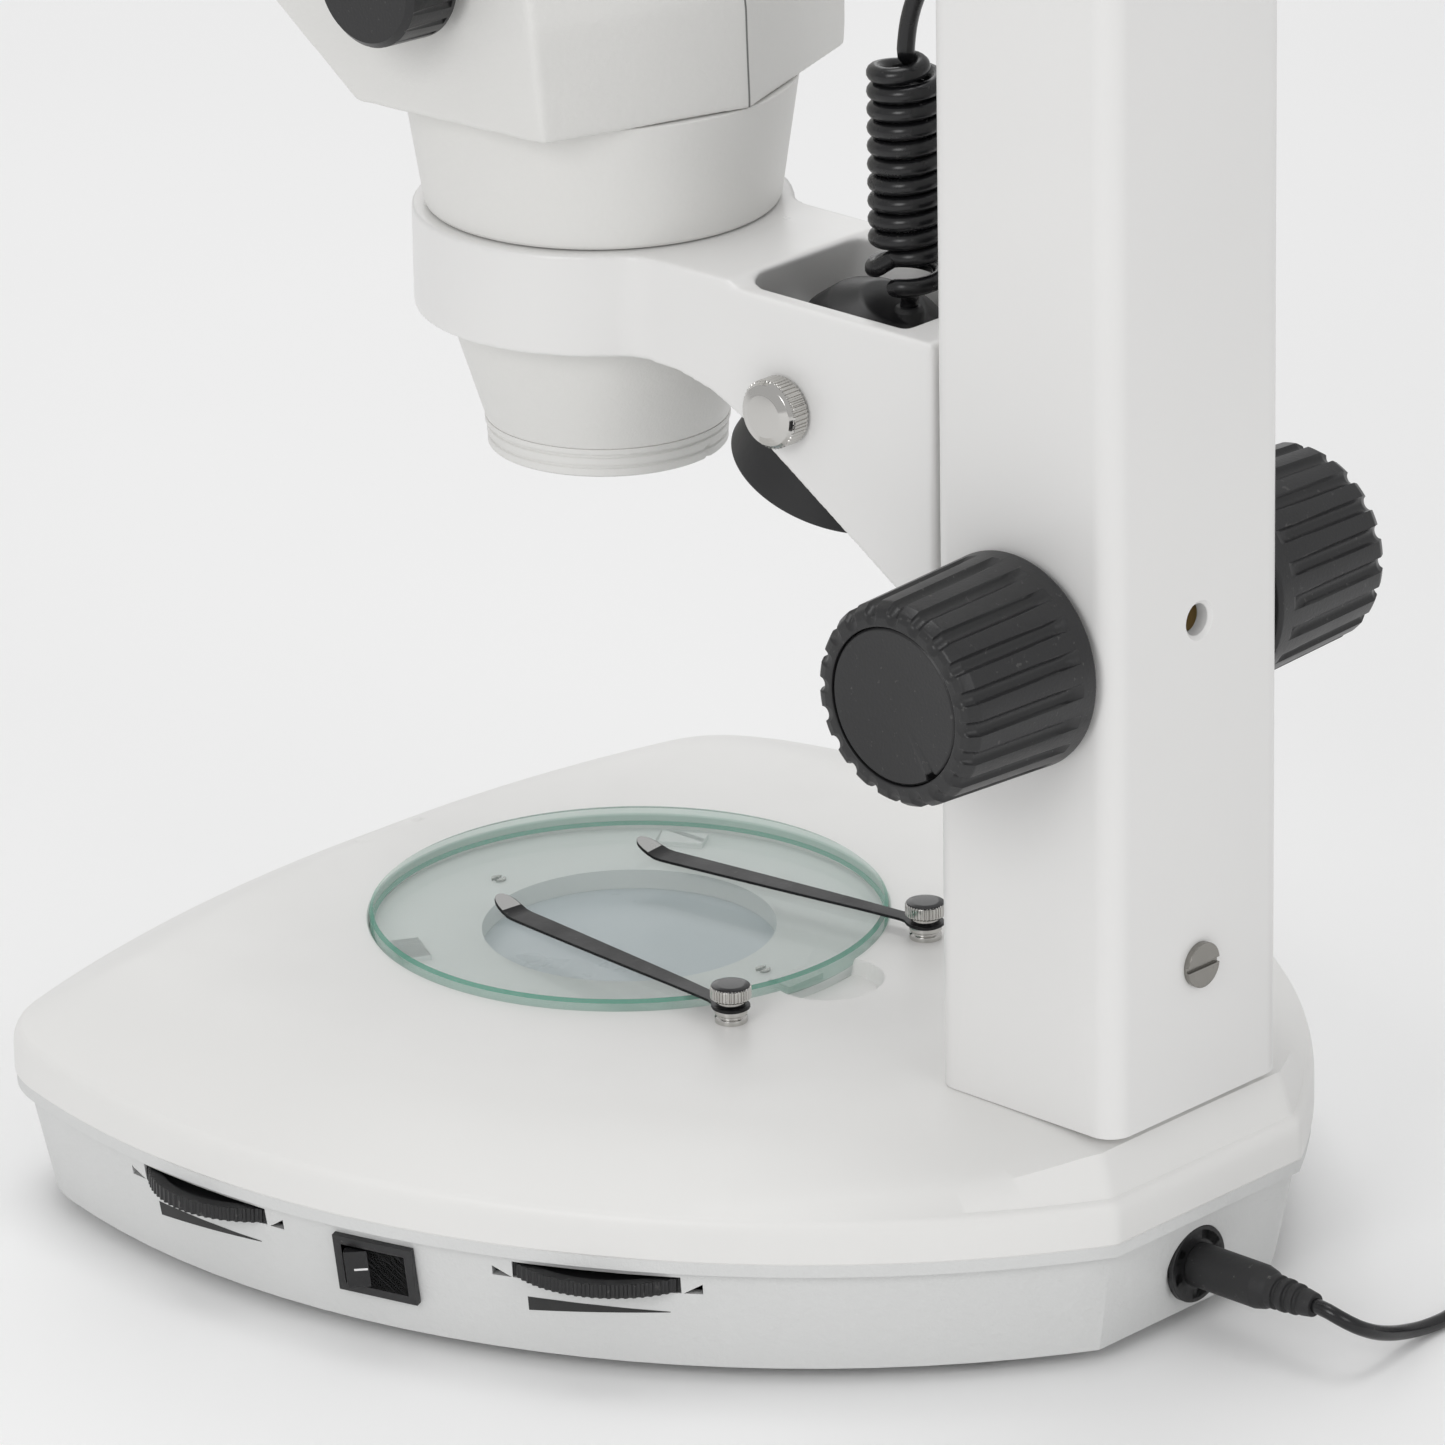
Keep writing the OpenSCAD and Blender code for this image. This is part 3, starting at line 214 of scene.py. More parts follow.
FINE = ((1500, 0.00003), (420, 0.00002))
MAT = {
    "shell_cream": finish("shell_cream", (0.83, 0.825, 0.81), 0.42, grains=((2200, 0.000012), (90, 0.00003)),
                          vary=0.012),
    "tray_grey": finish("tray_grey", (0.70, 0.705, 0.70), 0.55, grains=((420, 0.00022), (1500, 0.00008)),
                        vary=0.015),
    "cover_grey": finish("cover_grey", (0.20, 0.205, 0.21), 0.6, grains=FINE),
    "column_paint": finish("column_paint", (0.83, 0.825, 0.815), 0.38, grains=((700, 0.00002), (60, 0.00003)),
                           vary=0.01, coat=0.15),
    "arm_paint": finish("arm_paint", (0.83, 0.825, 0.815), 0.33, grains=((500, 0.000025), (70, 0.00004)),
                        vary=0.01, coat=0.25),
    "head_plastic": finish("head_plastic", (0.78, 0.775, 0.755), 0.5, grains=((800, 0.00008), (2100, 0.00003)),
                           vary=0.015),
    "housing_plastic": finish("housing_plastic", (0.78, 0.775, 0.755), 0.5,
                              grains=((800, 0.00008), (2100, 0.00003)), vary=0.015, seam=True),
    "black_plastic": finish("black_plastic", (0.016, 0.016, 0.017), 0.40, grains=FINE, vary=0.2, dust=0.12),
    "knob_black": finish("knob_black", (0.018, 0.018, 0.019), 0.36, grains=((1300, 0.00005), (300, 0.00002)),
                         vary=0.15, sheen=0.07, dust=0.10),
    "black_gloss": finish("black_gloss", (0.010, 0.010, 0.011), 0.20, grains=((300, 0.000008),), vary=0.1),
    "rubber": finish("rubber", (0.016, 0.016, 0.017), 0.55, grains=((900, 0.00005),), vary=0.15, dust=0.15),
    "nickel": finish("nickel", (0.60, 0.59, 0.57), 0.12, metal=1.0, sheen=0.05, grains=((400, 0.00001),)),
    "steel": finish("steel", (0.30, 0.29, 0.27), 0.26, metal=1.0, sheen=0.1, stretch=(40, 1, 1),
                    grains=((300, 0.00002),)),
    "black_steel": finish("black_steel", (0.010, 0.010, 0.011), 0.42, metal=0.1, specular=0.3, sheen=0.1,
                          grains=((900, 0.00002),), vary=0.2, dust=0.08),
    "brass": finish("brass", (0.70, 0.52, 0.24), 0.3, metal=1.0, grains=((600, 0.00002),)),
    "aluminium": finish("aluminium", (0.70, 0.71, 0.72), 0.36, metal=1.0, sheen=0.08, grains=((700, 0.00002),)),
    "lamp_black": finish("lamp_black", (0.014, 0.014, 0.015), 0.38, grains=((500, 0.00004),), vary=0.15),
    "glass_plate": clear("glass_plate", (0.66, 0.80, 0.76), 0.14),
    "glass_rim": clear("glass_rim", (0.12, 0.44, 0.32), 0.34, 0.08, 1.6),
    "glass_edge": clear("glass_edge", (0.06, 0.32, 0.22), 0.75, 0.08, 1.6),
    "optics": glassy("optics", (0.75, 0.78, 0.95), 0.01),
    "opal": finish("opal", (0.52, 0.57, 0.61), 0.30, grains=((1500, 0.00001),), vary=0.02),
    "board_green": finish("board_green", (0.03, 0.16, 0.08), 0.4, grains=FINE, vary=0.15),
    "cord_black": finish("cord_black", (0.008, 0.008, 0.009), 0.26, grains=((800, 0.00002),), vary=0.15, dust=0.06),
    "well_grey": finish("well_grey", (0.70, 0.715, 0.70), 0.5, grains=FINE, vary=0.015),
    "mark_black": finish("mark_black", (0.02, 0.02, 0.02), 0.5, grains=((1500, 0.00001),), vary=0.1),
    "mark_white": finish("mark_white", (0.80, 0.80, 0.80), 0.5, grains=((1500, 0.00001),), vary=0.03),
    # Painted highlight: a bright silver for the sheet laid on each clip's lifted tip.
    "clip_tip_painted_highlight": finish("clip_tip_painted_highlight", (0.65, 0.65, 0.64), 0.25, metal=1.0, grains=((900, 0.00002),)),
}


# ---------------------------------------------------------------- mesh helpers
def smooth(me, angle):
    me.polygons.foreach_set("use_smooth", [True] * len(me.polygons))
    me.set_sharp_from_angle(angle=math.radians(angle))


def add(name, verts, faces, body, mat, nodes=(), angle=35, place=None, bevel=0.0, seg=3, keep=False):
    """A piece from millimetre points in the stage frame, riding on a body and standing for CAD nodes."""
    me = bpy.data.meshes.new(name)
    me.from_pydata([tuple(v) for v in verts], [], faces)
    me.transform(MM @ (place or Matrix.Identity(4)))
    bm = bmesh.new()
    bm.from_mesh(me)
    bmesh.ops.remove_doubles(bm, verts=bm.verts, dist=2e-6)
    bmesh.ops.recalc_face_normals(bm, faces=bm.faces)
    bm.to_mesh(me)
    bm.free()
    return put(name, me, body, mat, nodes, angle, bevel, seg, keep)


def put(name, me, body, mat, nodes=(), angle=35, bevel=0.0, seg=3, keep=False):
    smooth(me, angle)
    o = bpy.data.objects.new(name, me)
    bpy.context.collection.objects.link(o)
    me.materials.clear()
    me.materials.append(MAT[mat])
    if bevel:
        b = o.modifiers.new("edge", "BEVEL")
        b.width, b.segments, b.limit_method = bevel / 1000, seg, "ANGLE"
        b.angle_limit = math.radians(28)
        b.harden_normals = True
        b.miter_outer = "MITER_ARC"
    if not keep:
        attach(o, body)
    if nodes:
        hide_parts(*nodes)
    return o


def refine(node, mat=None, bevel=0.3, seg=2, angle=35, name=None):
    """The CAD node again, with its flat faces merged and its edges rounded."""
    me = frame["nodes"][node].data.copy()
    bm = bmesh.new()
    bm.from_mesh(me)
    bmesh.ops.remove_doubles(bm, verts=bm.verts, dist=2e-6)
    bmesh.ops.dissolve_limit(bm, angle_limit=math.radians(0.4), verts=bm.verts, edges=bm.edges)
    bm.to_mesh(me)
    bm.free()
    return put(name or node + "_v", me, BODY_OF[node], mat or SLOT_OF[node], (node,), angle, bevel, seg)


def cast(name, nodes, mat, voxel, turns):
    """CAD nodes as one casting: remeshed in even quads and relaxed, so that every edge is soft."""
    bm = bmesh.new()
    for node in nodes:
        bm.from_mesh(frame["nodes"][node].data)
    bmesh.ops.remove_doubles(bm, verts=bm.verts, dist=2e-6)
    me = bpy.data.meshes.new(name)
    bm.to_mesh(me)
    bm.free()
    o = bpy.data.objects.new(name, me)
    bpy.context.collection.objects.link(o)
    r = o.modifiers.new("even", "REMESH")
    r.mode, r.voxel_size = "VOXEL", voxel / 1000
    s = o.modifiers.new("soft", "SMOOTH")
    s.factor, s.iterations = 0.5, turns
    done = bpy.data.meshes.new_from_object(o.evaluated_get(bpy.context.evaluated_depsgraph_get()))
    bpy.data.objects.remove(o)
    return put(name, done, BODY_OF[nodes[0]], mat, nodes, angle=60)


def fillet(points, r, seg=4, closed=False):
    """Rounds the corners of a polyline of (a, b) points; r is one radius or one per point."""
    out = []
    n = len(points)
    for i, p in enumerate(points):
        ri = r[i] if isinstance(r, (list, tuple)) else r
        if (not closed and i in (0, n - 1)) or ri <= 0:
            out.append(tuple(p))
            continue
        q, s = Vector(points[i - 1]), Vector(points[(i + 1) % n])
        v = Vector(p)
        a, b = (q - v), (s - v)
        la, lb = a.length, b.length
        if la < 1e-9 or lb < 1e-9:
            continue
        a.normalize()
        b.normalize()
        half = math.acos(max(-1, min(1, a.dot(b)))) / 2
        if half > math.radians(86) or half < 0.03:
            out.append(tuple(p))
            continue
        d = min(ri / math.tan(half), la * 0.48, lb * 0.48)
        for k in range(seg + 1):
            t = k / seg
            w = (v + a * d) * (1 - t) ** 2 + v * 2 * t * (1 - t) + (v + b * d) * t * t
            out.append(tuple(w))
    return out


def lathe(profile, n=96, radius=None, closed=False):
    """Turns (r, z) points round +Z. radius(angle, r, z) may change each point's radius."""
    verts, faces, rows = [], [], []
    for r, z in profile:
        if r < 1e-6:
            verts.append((0, 0, z))
            rows.append([len(verts) - 1] * n)
            continue
        row = []
        for i in range(n):
            a = 2 * math.pi * i / n
            q = radius(a, r, z) if radius else r
            verts.append((q * math.cos(a), q * math.sin(a), z))
            row.append(len(verts) - 1)
        rows.append(row)
    pairs = list(zip(rows, rows[1:] + rows[:1])) if closed else list(zip(rows, rows[1:]))
    for lo, hi in pairs:
        for i in range(n):
            j = (i + 1) % n
            f = []
            for v in (lo[i], lo[j], hi[j], hi[i]):
                if v not in f:
                    f.append(v)
            if len(f) > 2:
                faces.append(f)
    return verts, faces


def tube(path, r, sides=12):
    """A tube along points, with flat caps."""
    pts = [Vector(p) for p in path]
    tans = [(pts[min(i + 1, len(pts) - 1)] - pts[max(i - 1, 0)]).normalized() for i in range(len(pts))]
    ref = Vector((0, 0, 1)) if abs(tans[0].z) < 0.9 else Vector((1, 0, 0))
    u = tans[0].cross(ref).normalized()
    verts, faces = [], []
    for i, (p, t) in enumerate(zip(pts, tans)):
        u = (u - t * u.dot(t)).normalized()
        w = t.cross(u)
        for k in range(sides):
            a = 2 * math.pi * k / sides
            verts.append(p + r * (math.cos(a) * u + math.sin(a) * w))
    for i in range(len(pts) - 1):
        for k in range(sides):
            j = (k + 1) % sides
            faces.append([i * sides + k, i * sides + j, (i + 1) * sides + j, (i + 1) * sides + k])
    faces.append(list(range(sides))[::-1])
    faces.append([(len(pts) - 1) * sides + k for k in range(sides)])
    return verts, faces


def catmull(points, step=2.0):
    pts = [Vector(p) for p in points]
    pts = [2 * pts[0] - pts[1]] + pts + [2 * pts[-1] - pts[-2]]
    out = []
    for i in range(1, len(pts) - 2):
        a, b, c, d = pts[i - 1:i + 3]
        n = max(2, int((c - b).length / step))
        for k in range(n):
            t = k / n
            out.append(0.5 * (2 * b + (c - a) * t + (2 * a - 5 * b + 4 * c - d) * t * t
                              + (3 * b - a - 3 * c + d) * t ** 3))
    out.append(pts[-2])
    return out


def rot(axis, degrees):
    return Matrix.Rotation(math.radians(degrees), 4, axis)


def move(x, y, z):
    return Matrix.Translation((x, y, z))


# ---------------------------------------------------------------- cords first
# Each cord's length is that of the curve drawn here. No real length is known, so it isn't a check on it.
LEAD_R = 1.8
COIL = Vector((-100, 240, 0))
PLUG_END = 215.5


def coil_path():
    """Twelve turns in a neat ring: one flat layer inwards, then up and down outwards."""
    radii = [25.4, 21.8, 18.2, 14.6]
    seats = [(r, 1.8) for r in radii]
    for k, r in enumerate(reversed(radii)):
        seats += [(r, 5.4), (r, 9.0)] if k % 2 == 0 else [(r, 9.0), (r, 5.4)]
    out = []
    per = 72
    for i, (r, z) in enumerate(seats):
        nxt = seats[min(i + 1, len(seats) - 1)]
        for k in range(per):
            f = k / per
            t = max(0.0, (f - 0.72) / 0.28)
            t = t * t * (3 - 2 * t)
            rr, zz = r + (nxt[0] - r) * t, z + (nxt[1] - z) * t
            a = math.radians(-90 - 360 * f)
            out.append(COIL + Vector((rr * math.cos(a), rr * math.sin(a), zz)))
    return out


lead_in = [(0, PLUG_END, 16), (0, 219, 15.7), (-1, 222, 14.4), (-4, 224.3, 12), (-9, 225, 9.2),
           (-15, 224.6, 6.6), (-22, 223.6, 4.2), (-30, 223, 2.4), (-38, 222.8, 1.8), (-48, 221.8, 1.8),
           (-59, 219, 1.8), (-70, 215.4, 1.8), (-80, 213.2, 1.8), (-88, 213.4, 1.8)]
lead_out = [(-104, 213.6, 5.2), (-113, 215, 3.4), (-122, 216, 2.0), (-128, 211, 1.8), (-129, 200, 1.8),
            (-129.5, 190, 1.8), (-131.5, 180, 2.2), (-136, 171, 4), (-143, 166, 7.5), (-149.5, 167, 11),
            (-152, 172, 13.3), (-152, 178, 14)]
turns = coil_path()
lead_path = catmull(lead_in + [tuple(p) for p in turns[4:-6:3]] + lead_out, 1.6)
lead_path = [Vector((p.x, p.y, max(p.z, LEAD_R))) for p in lead_path]
lead = add("power_lead", *tube(lead_path, LEAD_R, 12), "base", "cord_black", ("power_cord", "power_coil"),
           angle=60)
adapter = refine("wall_adapter", "black_plastic", 2.0, 4)

# Curly lamp lead: a helix from the lamp's eyelet up to the column's gland
CURL_Y, CURL_LO, CURL_HI, CURL_R, WIRE = 93.0, 243.0, 288.5, 7.1, 2.1
PITCH = 4.35


def curl_path():
    out = [(0, CURL_Y, 229.5), (0.4, CURL_Y + 1, 232.5), (3, CURL_Y + 3, 235)]
    for k in range(0, 11):
        a = math.radians(20 + 31 * k)
        out.append((7.8 * math.cos(a), CURL_Y + 7.8 * math.sin(a), 236.6 + 0.32 * k))
    turns = (CURL_HI - CURL_LO) / PITCH
    n = int(turns * 26)
    for i in range(n + 1):
        a = 2 * math.pi * turns * i / n + 0.1
        grow = min(1, 0.7 + i / 16, 0.25 + (n - i) / 16)
        r = CURL_R * grow
        out.append((r * math.cos(a), CURL_Y + r * math.sin(a), CURL_LO + PITCH * turns * i / n))
    for k in range(0, 13):
        a = math.radians(7.5 * k)
        out.append((0, 126 - 33 * math.cos(a), 290 + 33 * math.sin(a)))
    return out


curl_points = curl_path()
curl_line = catmull(curl_points, 1.3)
curl = add("curly_lead", *tube(curl_line, WIRE, 14), "focus_arm", "cord_black", ("lamp_cord",), angle=60,
           keep=True)
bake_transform(curl)


# ---------------------------------------------------------------- base shell
# Each long side of the base is an arc of radius ARC_R about (-ARC_X, ARC_Y) or (ARC_X, ARC_Y)
ARC_X = 81
ARC_Y = -8
ARC_R = 223


def outline(inset, rear=184.0, rounding=30.0, front=0.0, count=480):
    """Distance from the stage centre to the base's outline in each direction, as in the CAD."""
    ang = np.linspace(0, 2 * np.pi, 1440, endpoint=False)
    d = np.stack([np.cos(ang), np.sin(ang)], 1)

    def exit_circle(cx, cy, r):
        b = d @ np.array([cx, cy])
        return b + np.sqrt(b * b - (cx * cx + cy * cy - r * r))

    arc = ARC_R - inset - rounding
    core = np.minimum(exit_circle(-ARC_X, ARC_Y, arc), exit_circle(ARC_X, ARC_Y, arc))
    core = np.minimum(core, exit_circle(0, 279, 387 - inset + front - rounding))
    pts = d * core[:, None]
    nxt = np.roll(pts, -1, 0) - pts
    nrm = np.stack([nxt[:, 1], -nxt[:, 0]], 1)
    nrm /= np.linalg.norm(nrm, axis=1)[:, None]
    grown = []
    for i in range(len(pts)):
        a, b = nrm[i - 1], nrm[i]
        for t in np.linspace(0, 1, 12 if a @ b < 0.995 else 2, endpoint=False):
            m = a * (1 - t) + b * t
            grown.append(pts[i] + rounding * m / np.linalg.norm(m))
    grown = np.array(grown)
    ga = np.unwrap(np.arctan2(grown[:, 1], grown[:, 0]))
    gr = np.linalg.norm(grown, axis=1)
    out = np.linspace(0, 2 * np.pi, count, endpoint=False)
    order = np.argsort(ga % (2 * np.pi))
    rad = np.interp(out, (ga % (2 * np.pi))[order], gr[order], period=2 * np.pi)
    line = np.where(np.sin(out) > 1e-6, (rear - inset) / np.maximum(np.sin(out), 1e-6), 1e9)
    return np.minimum(rad, line)


def hull_tree(points):
    bm = bmesh.new()
    for p in points:
        bm.verts.new(p)
    bmesh.ops.convex_hull(bm, input=bm.verts)
    tree = BVHTree.FromBMesh(bm)
    bm.free()
    return tree


def base_shell():
    n = 720
    ang = np.linspace(0, 2 * np.pi, n, endpoint=False)
    ca, sa = np.cos(ang), np.sin(ang)
    shoulder = outline(2.2, count=n)
    flat = outline(32, rear=161, rounding=16, front=7, count=n)
    low = PLATEAU - 23.5
    side = [(shoulder[i] * ca[i], shoulder[i] * sa[i], low + 11) for i in range(0, n, 2)]
    top = [(flat[i] * ca[i], flat[i] * sa[i], PLATEAU) for i in range(0, n, 2)]
    foot = [(x, y, PLATEAU) for x in (-30, 30) for y in (100, 180.5)]
    trees = [hull_tree(side + top), hull_tree([p for p in side if p[1] > 60] + foot)]

    def height(x, y):
        best = low + 11
        for tree in trees:
            hit = tree.ray_cast(Vector((x, y, 200)), Vector((0, 0, -1)))
            if hit[0] is not None:
                best = max(best, hit[0].z)
        return best

    hole = 62.9
    near = [hole, hole + 0.3] + [hole + 0.5 * k for k in range(2, 35)]
    steps = 30
    rows, zs = [], []
    for r in near:
        rows.append(np.full(n, r))
    for k in range(1, steps + 1):
        rows.append(near[-1] + (shoulder - near[-1]) * k / steps)
    for row in rows:
        zs.append(np.array([height(row[i] * ca[i], row[i] * sa[i]) for i in range(n)]))
    z = np.array(zs)
    free = z.copy()
    r = np.array(rows)
    for _ in range(26):
        s = z.copy()
        s[1:-1] = 0.5 * z[1:-1] + 0.25 * (z[:-2] + z[2:])
        s = 0.6 * s + 0.2 * (np.roll(s, 1, 1) + np.roll(s, -1, 1))
        keep = np.clip((shoulder - r) / 7.0, 0, 1)
        z = keep * s + (1 - keep) * free
    z = np.minimum(z, PLATEAU)
    x, y = r * ca, r * sa
    groove = np.clip((10.6 - np.abs(x)) / 0.7, 0, 1) * np.clip((-79.9 - y) / 0.5, 0, 1)
    z = np.where(y < 0, np.minimum(z, PLATEAU - 1.2 * groove), z)
    scoop = np.clip((13.4 - np.hypot(x, y - 65)) / 1.5, 0, 1)
    z = z - 3.6 * scoop * (3 - 2 * scoop) * scoop
    verts, faces = [], []

    def ring(xs, ys, zz):
        for i in range(n):
            verts.append((xs[i], ys[i], zz[i] if hasattr(zz, "__len__") else zz))

    ring(hole * ca, hole * sa, PLATEAU - 5.8)
    for k in range(len(rows)):
        zk = z[k] - (0.35 if k == 0 else 0)
        ring(x[k], y[k], zk)
    rounds = [(1.5, 10.75), (0.9, 10.2), (0.45, 9.4), (0.15, 8.3), (0.02, 7.0), (0, 5), (0, 0.5), (0.4, 0.0),
              (2.4, 0.0)]
    last = z[-1]
    for inset, up in rounds:
        rr = outline(inset, count=n)
        if up > 9:
            mixv = (up - 7.0) / 4.0
            zz = (low + up) * (1 - mixv * 0.5) + (last - 11 + up) * mixv * 0.5
        else:
            zz = np.full(n, low + up)
        ring(rr * ca, rr * sa, zz)
    total = len(verts) // n
    for k in range(total - 1):
        for i in range(n):
            j = (i + 1) % n
            faces.append([k * n + i, k * n + j, (k + 1) * n + j, (k + 1) * n + i])
    add("shell", verts, faces, "base", "shell_cream", ("base_shell",), angle=38)


base_shell()

# ---------------------------------------------------------------- round parts
HEAD_Y = -3.5
head_at = move(0, HEAD_Y, 0)
cone = fillet([(27, 183), (28.9, 183), (37.4, 210.4), (38, 211.4), (38, 236.4), (41.6, 236.4), (42.1, 237.2),
               (46.6, 266.9), (44, 267), (44, 269), (41.4, 269), (39.5, 239), (35, 236.4), (35, 211), (27, 185)],
              [0.2, 0.5, 0.4, 0.4, 0.3, 0.4, 0.5, 0.5, 0.2, 0, 0, 0, 0, 0, 0], 3)
add("head_cone_v", *lathe(cone, 128, closed=True), "head", "head_plastic", ("head_cone",), place=head_at)


def notch(a, r, z):
    d = abs((math.degrees(a) - 100 + 180) % 360 - 180)
    return r - 0.9 * max(0.0, 1 - d / 2.2) if z < 179.5 and r > 27 else r


objective = fillet([(24, 176), (28.1, 176), (28.5, 176.4), (28.5, 178), (28.05, 178.25), (28.05, 178.75),
                    (28.65, 179), (28.65, 180.6), (28.2, 180.85), (28.2, 181.35), (29.1, 181.8), (29.1, 183),
                    (24, 183)], 0.12, 2, closed=True)
add("objective_ring_v", *lathe(objective, 200, notch, closed=True), "head", "head_plastic", ("objective_ring",),
    place=head_at)
top_v, top_f = lathe([(61.6, GLASS_TOP), (0, GLASS_TOP)], 192)
low_v, low_f = lathe([(0, GLASS_TOP - 5), (61.6, GLASS_TOP - 5)], 192)
both = top_f + [[i + len(top_v) for i in f] for f in low_f]
add("glass_v", top_v + low_v, both, "base", "glass_plate", ("stage_glass",), angle=30)
rim = [(62.5, GLASS_TOP - 4.2), (62.5, GLASS_TOP - 0.8)]
add("glass_rim", *lathe(rim, 192), "base", "glass_rim", angle=60)
for name, a, b in (("upper", (62.5, GLASS_TOP - 0.8), (61.6, GLASS_TOP)),
                   ("lower", (61.6, GLASS_TOP - 5), (62.5, GLASS_TOP - 4.2))):
    add("glass_edge_" + name, *lathe([a, b], 192), "base", "glass_edge", angle=60)


PINION_Y = 152.5
PINION_Z = 167.5


def knob(side):
    """Focus knob: rounded grooves that run from the outer edge and stop short of the inner end."""
    outer = fillet([(4, 0), (9, 0), (9, 3), (19, 3), (19, 0), (24.6, 0), (25.5, 0.9), (25.3, 5), (23.9, 37.6),
                    (22.4, 40.1), (20.6, 40.5), (18.5, 40.5), (18.4, 37.5), (4, 37.5)],
                   [0, 0, 0, 0, 0.4, 0.8, 0.6, 1, 1.6, 1.4, 0.6, 0.4, 0, 0], 4)
    prof = []
    for (r0, z0), (r1, z1) in zip(outer, outer[1:]):
        m = 1 if z1 - z0 < 3 or r0 < 20 else 14
        prof += [(r0 + (r1 - r0) * k / m, z0 + (z1 - z0) * k / m) for k in range(m)]
    prof.append(outer[-1])

    def grooves(a, r, z):
        if r < 20.3 or z < 1:
            return r
        d = abs(((math.degrees(a) + 9) % 18) - 9) * math.radians(1) * r
        width = 1.75
        if d >= width:
            return r
        start = 6.2
        run = z - start
        if run < 0:
            return r
        end = min(1.0, math.sqrt(max(0.0, 1 - (1 - min(run, width) / width) ** 2)) if run < width else 1.0)
        depth = 1.5 * math.sqrt(max(0.0, 1 - (d / width) ** 2)) * end
        return r - depth

    verts, faces = lathe(prof, 720, grooves)
    face = move(0, PINION_Y, PINION_Z) @ rot("Y", 90 if side > 0 else -90) @ move(0, 0, 31.5)
    name = "right" if side > 0 else "left"
    add("knob_" + name, verts, faces, "focus_drive", "knob_black", ("focus_knob_" + name,), place=face, angle=42)


knob(1)
knob(-1)
cap = fillet([(0, 0), (18.25, 0), (18.25, 2.3), (17.7, 2.75), (16.4, 2.6), (0, 1.9)],
             [0, 0, 0.3, 0.3, 0.8, 0], 3)
for side in (1, -1):
    place = move(0, PINION_Y, PINION_Z) @ rot("Y", 90 * side) @ move(0, 0, 69)

    def pry(a, r, z, s=side):
        d = abs((math.degrees(a) - (38 if s > 0 else 142) + 180) % 360 - 180)
        return r - (1.3 if d < 4.2 and r > 16.8 and z > 0.1 else 0)

    verts, faces = lathe([(0, 0), (18.25, 0)] + cap[2:], 240, pry)
    add("cap_" + ("r" if side > 0 else "l"), verts, faces, "focus_drive", "knob_black",
        ("knob_caps",) if side > 0 else (), place=place, angle=30)

# Lamp: bell, dome, reflector lens
LAMP_Y = 79
LAMP_Z = 209
lamp_at = move(0, LAMP_Y, LAMP_Z) @ rot("X", -24)
bell = fillet([(22.2, -26.5), (24.4, -26.5), (22.9, -20), (21.3, -14), (20, -7), (20, 5), (18.6, 12.5), (14.5, 19),
               (8, 23), (0, 24)], [0.3, 0.5, 3, 4, 4, 5, 5, 4, 4, 0], 6)
inner = [(0, 19), (14, 13), (18, 5), (18, -9), (22.2, -26.5)]
verts, faces = lathe(bell[::-1] + inner[::-1][1:], 120)
add("lamp_bell", verts, faces, "lamp", "lamp_black", ("lamp_housing",), place=lamp_at)
add("lamp_boss", *lathe(fillet([(0, 230), (2.8, 230), (3.6, 229), (3.6, 224), (0, 224)], [0, 0.5, 0.5, 0, 0]), 40),
    "lamp", "rubber", place=move(0, 93, 0))
refine("lamp_lens", "opal", 0.2)
refine("lamp_board", "board_green", 0.1)


def knurled(count, depth, share=0.5):
    def f(a, r, z):
        w = (a * count / (2 * math.pi)) % 1
        return r - depth * (1 if w < share else 0) if r > 4.5 else r
    return f


for side in (1, -1):
    place = move(0, LAMP_Y, LAMP_Z) @ rot("Y", 90 * side)
    head = fillet([(3, 27.4), (7.7, 27.4), (8.2, 27.8), (8.2, 32.2), (7.8, 32.6)], [0, 0.2, 0.2, 0.2, 0], 2)
    verts, faces = lathe(head, 288, knurled(48, 0.32, 0.4))
    dome = fillet([(7.8, 32.6), (7.2, 33.4), (5, 34.3), (2.4, 34.7), (0, 34.8)], [0, 0.5, 1, 1, 0], 4)
    name = "lamp_knob_" + ("right" if side > 0 else "left")
    add(name + "_v", verts, faces, BODY_OF[name], "nickel", (name,), place=place, angle=40)
    add(name + "_dome", *lathe(dome, 96), BODY_OF[name], "nickel", place=place)
    stud = [(0, 15), (2.6, 15), (3, 15.5), (3, 27.5)]
    add(name + "_stud", *lathe(stud, 48), BODY_OF[name], "nickel", place=place)

